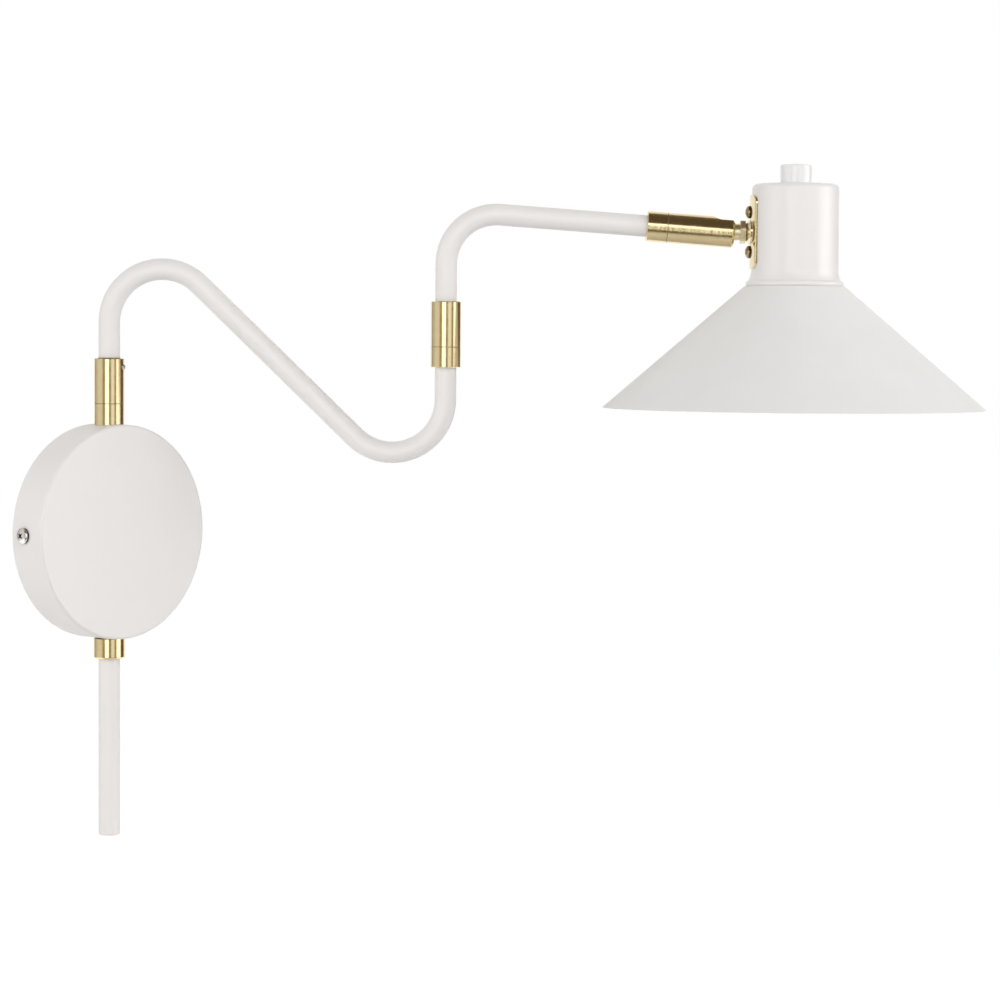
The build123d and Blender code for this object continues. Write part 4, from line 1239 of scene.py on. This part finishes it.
@dataclass
class Studio:
    """Plain pale floor, white surroundings, soft lamps and reflection cards."""

    camera: Camera = Camera()
    floor_height: float = -0.95
    floor_half: float = 14.0
    fill: float = 0.463
    floor_shade: float = 0.78
    floor_glow: float = 0.64
    card_columns: int = 12
    card_rows: int = 8

    def direction(self, turn: float, tilt: float) -> Vector:
        """Work out which way a card or a lamp stands from the sconce.

        Args:
            turn: Degrees to the right of the way to the camera.
            tilt: Degrees above the level.

        Returns:
            The direction, of length 1.
        """
        way, rise = math.radians(self.camera.heading + turn), math.radians(tilt)
        return Vector((math.sin(way) * math.cos(rise), -math.cos(way) * math.cos(rise), math.sin(rise)))

    def ray_mask(self, graph: Graph) -> bpy.types.NodeSocket:
        """Tell what is seen or reflected from what lights the sconce.

        Args:
            graph: Graph of the material or the world.

        Returns:
            A value that is 1 for camera, glossy and transmission rays.
        """
        path = graph.add("ShaderNodeLightPath").outputs
        first = graph.math("MAXIMUM", path["Is Camera Ray"], path["Is Glossy Ray"])
        return graph.math("MAXIMUM", first, path["Is Transmission Ray"])

    def world(self) -> None:
        """Make the world white where it is seen or reflected and softer where it lights the sconce."""
        world = bpy.data.worlds.new("studio")
        graph = empty_graph(world)
        soft = graph.add("ShaderNodeBackground", {"Color": WHITE, "Strength": self.fill})
        white = graph.add("ShaderNodeBackground", {"Color": WHITE, "Strength": 1.0})
        mixed = graph.add("ShaderNodeMixShader", {
            0: self.ray_mask(graph), 1: soft.outputs[0], 2: white.outputs[0]})
        graph.add("ShaderNodeOutputWorld", {"Surface": mixed.outputs[0]})
        bpy.context.scene.world = world

    def floor(self) -> bpy.types.Object:
        """Make a white floor that keeps a soft shadow and is clear from below.

        Returns:
            The floor.
        """
        mesh = bpy.data.meshes.new("floor")
        half, z, shade = self.floor_half, self.floor_height, self.floor_shade
        corners = [(-half, -half, z), (half, -half, z), (half, half, z), (-half, half, z)]
        mesh.from_pydata(corners, [], [(0, 1, 2, 3)])
        floor = new_object("floor", mesh)
        material = bpy.data.materials.new("studio_floor")
        graph = empty_graph(material)
        matt = graph.add("ShaderNodeBsdfDiffuse", {"Color": (shade, shade, shade, 1.0)})
        strength = graph.math("MULTIPLY", self.ray_mask(graph), self.floor_glow)
        glow = graph.add("ShaderNodeEmission", {"Strength": strength})
        both = graph.add("ShaderNodeAddShader", {0: matt.outputs[0], 1: glow.outputs[0]})
        clear = graph.add("ShaderNodeBsdfTransparent")
        below = graph.add("ShaderNodeNewGeometry").outputs["Backfacing"]
        mixed = graph.add("ShaderNodeMixShader", {0: below, 1: both.outputs[0], 2: clear.outputs[0]})
        graph.add("ShaderNodeOutputMaterial", {"Surface": mixed.outputs[0]})
        mesh.materials.append(material)
        return floor

    def card(self, card: Card, centre: Vector) -> bpy.types.Object:
        """Make a curved card that only glossy rays meet.

        Args:
            card: Directions that it covers and its level.
            centre: Middle of the sconce.

        Returns:
            The card.
        """
        columns, rows = self.card_columns, self.card_rows
        verts, faces = [], []
        for row in range(rows + 1):
            tilt = card.low + (card.high - card.low) * row / rows
            for column in range(columns + 1):
                turn = card.start + (card.end - card.start) * column / columns
                verts.append(tuple(centre + self.direction(turn, tilt) * card.distance))
        stride = columns + 1
        for row in range(rows):
            for column in range(columns):
                corner = row * stride + column
                faces.append((corner, corner + 1, corner + stride + 1, corner + stride))
        mesh = bpy.data.meshes.new(card.name)
        mesh.from_pydata(verts, [], faces)
        piece = new_object(card.name, mesh)
        material = bpy.data.materials.new(card.name)
        graph = empty_graph(material)
        glow = graph.add("ShaderNodeEmission", {"Color": card.tint, "Strength": card.level})
        graph.add("ShaderNodeOutputMaterial", {"Surface": glow.outputs[0]})
        mesh.materials.append(material)
        for ray in ("camera", "diffuse", "transmission", "volume_scatter", "shadow"):
            setattr(piece, "visible_" + ray, False)
        return piece

    def lamp(self, lamp: Lamp, centre: Vector) -> None:
        """Make a lamp that lights matt surfaces and shows in no reflection.

        Args:
            lamp: Direction, distance, size and power of the lamp.
            centre: Middle of the sconce.
        """
        data = bpy.data.lights.new(lamp.name, "AREA")
        data.shape = "SQUARE"
        data.size = lamp.size
        data.energy = lamp.power
        light = bpy.data.objects.new(lamp.name, data)
        bpy.context.scene.collection.objects.link(light)
        ray = self.direction(lamp.azimuth, lamp.elevation)
        light.matrix_world = turned_to(ray, centre + ray * lamp.distance)
        light.visible_glossy = False
        light.visible_camera = False

    def build(self) -> None:
        """Build the studio round the CAD box."""
        centre = (CAD_BOX[0] + CAD_BOX[1]) / 2
        self.camera.build()
        self.world()
        self.floor()
        for card in CARDS:
            self.card(card, centre)
        for lamp in LAMPS:
            self.lamp(lamp, centre)
        bpy.context.scene.view_settings.view_transform = "Standard"
        LOG.info("studio built")


def main() -> None:
    """Dress the frame and build the pieces and the studio."""
    logging.basicConfig(level=logging.INFO, format="%(name)s: %(message)s")
    shop = FinishShop()
    shop.dress_frame()
    tubes, copies = bent_tube_recipe(), placed_copies_recipe()
    FirstArm(shop, tubes).build()
    SecondArm(shop, tubes).build()
    Fittings(shop, copies).build()
    Studio().build()


if __name__ == "__main__":
    main()
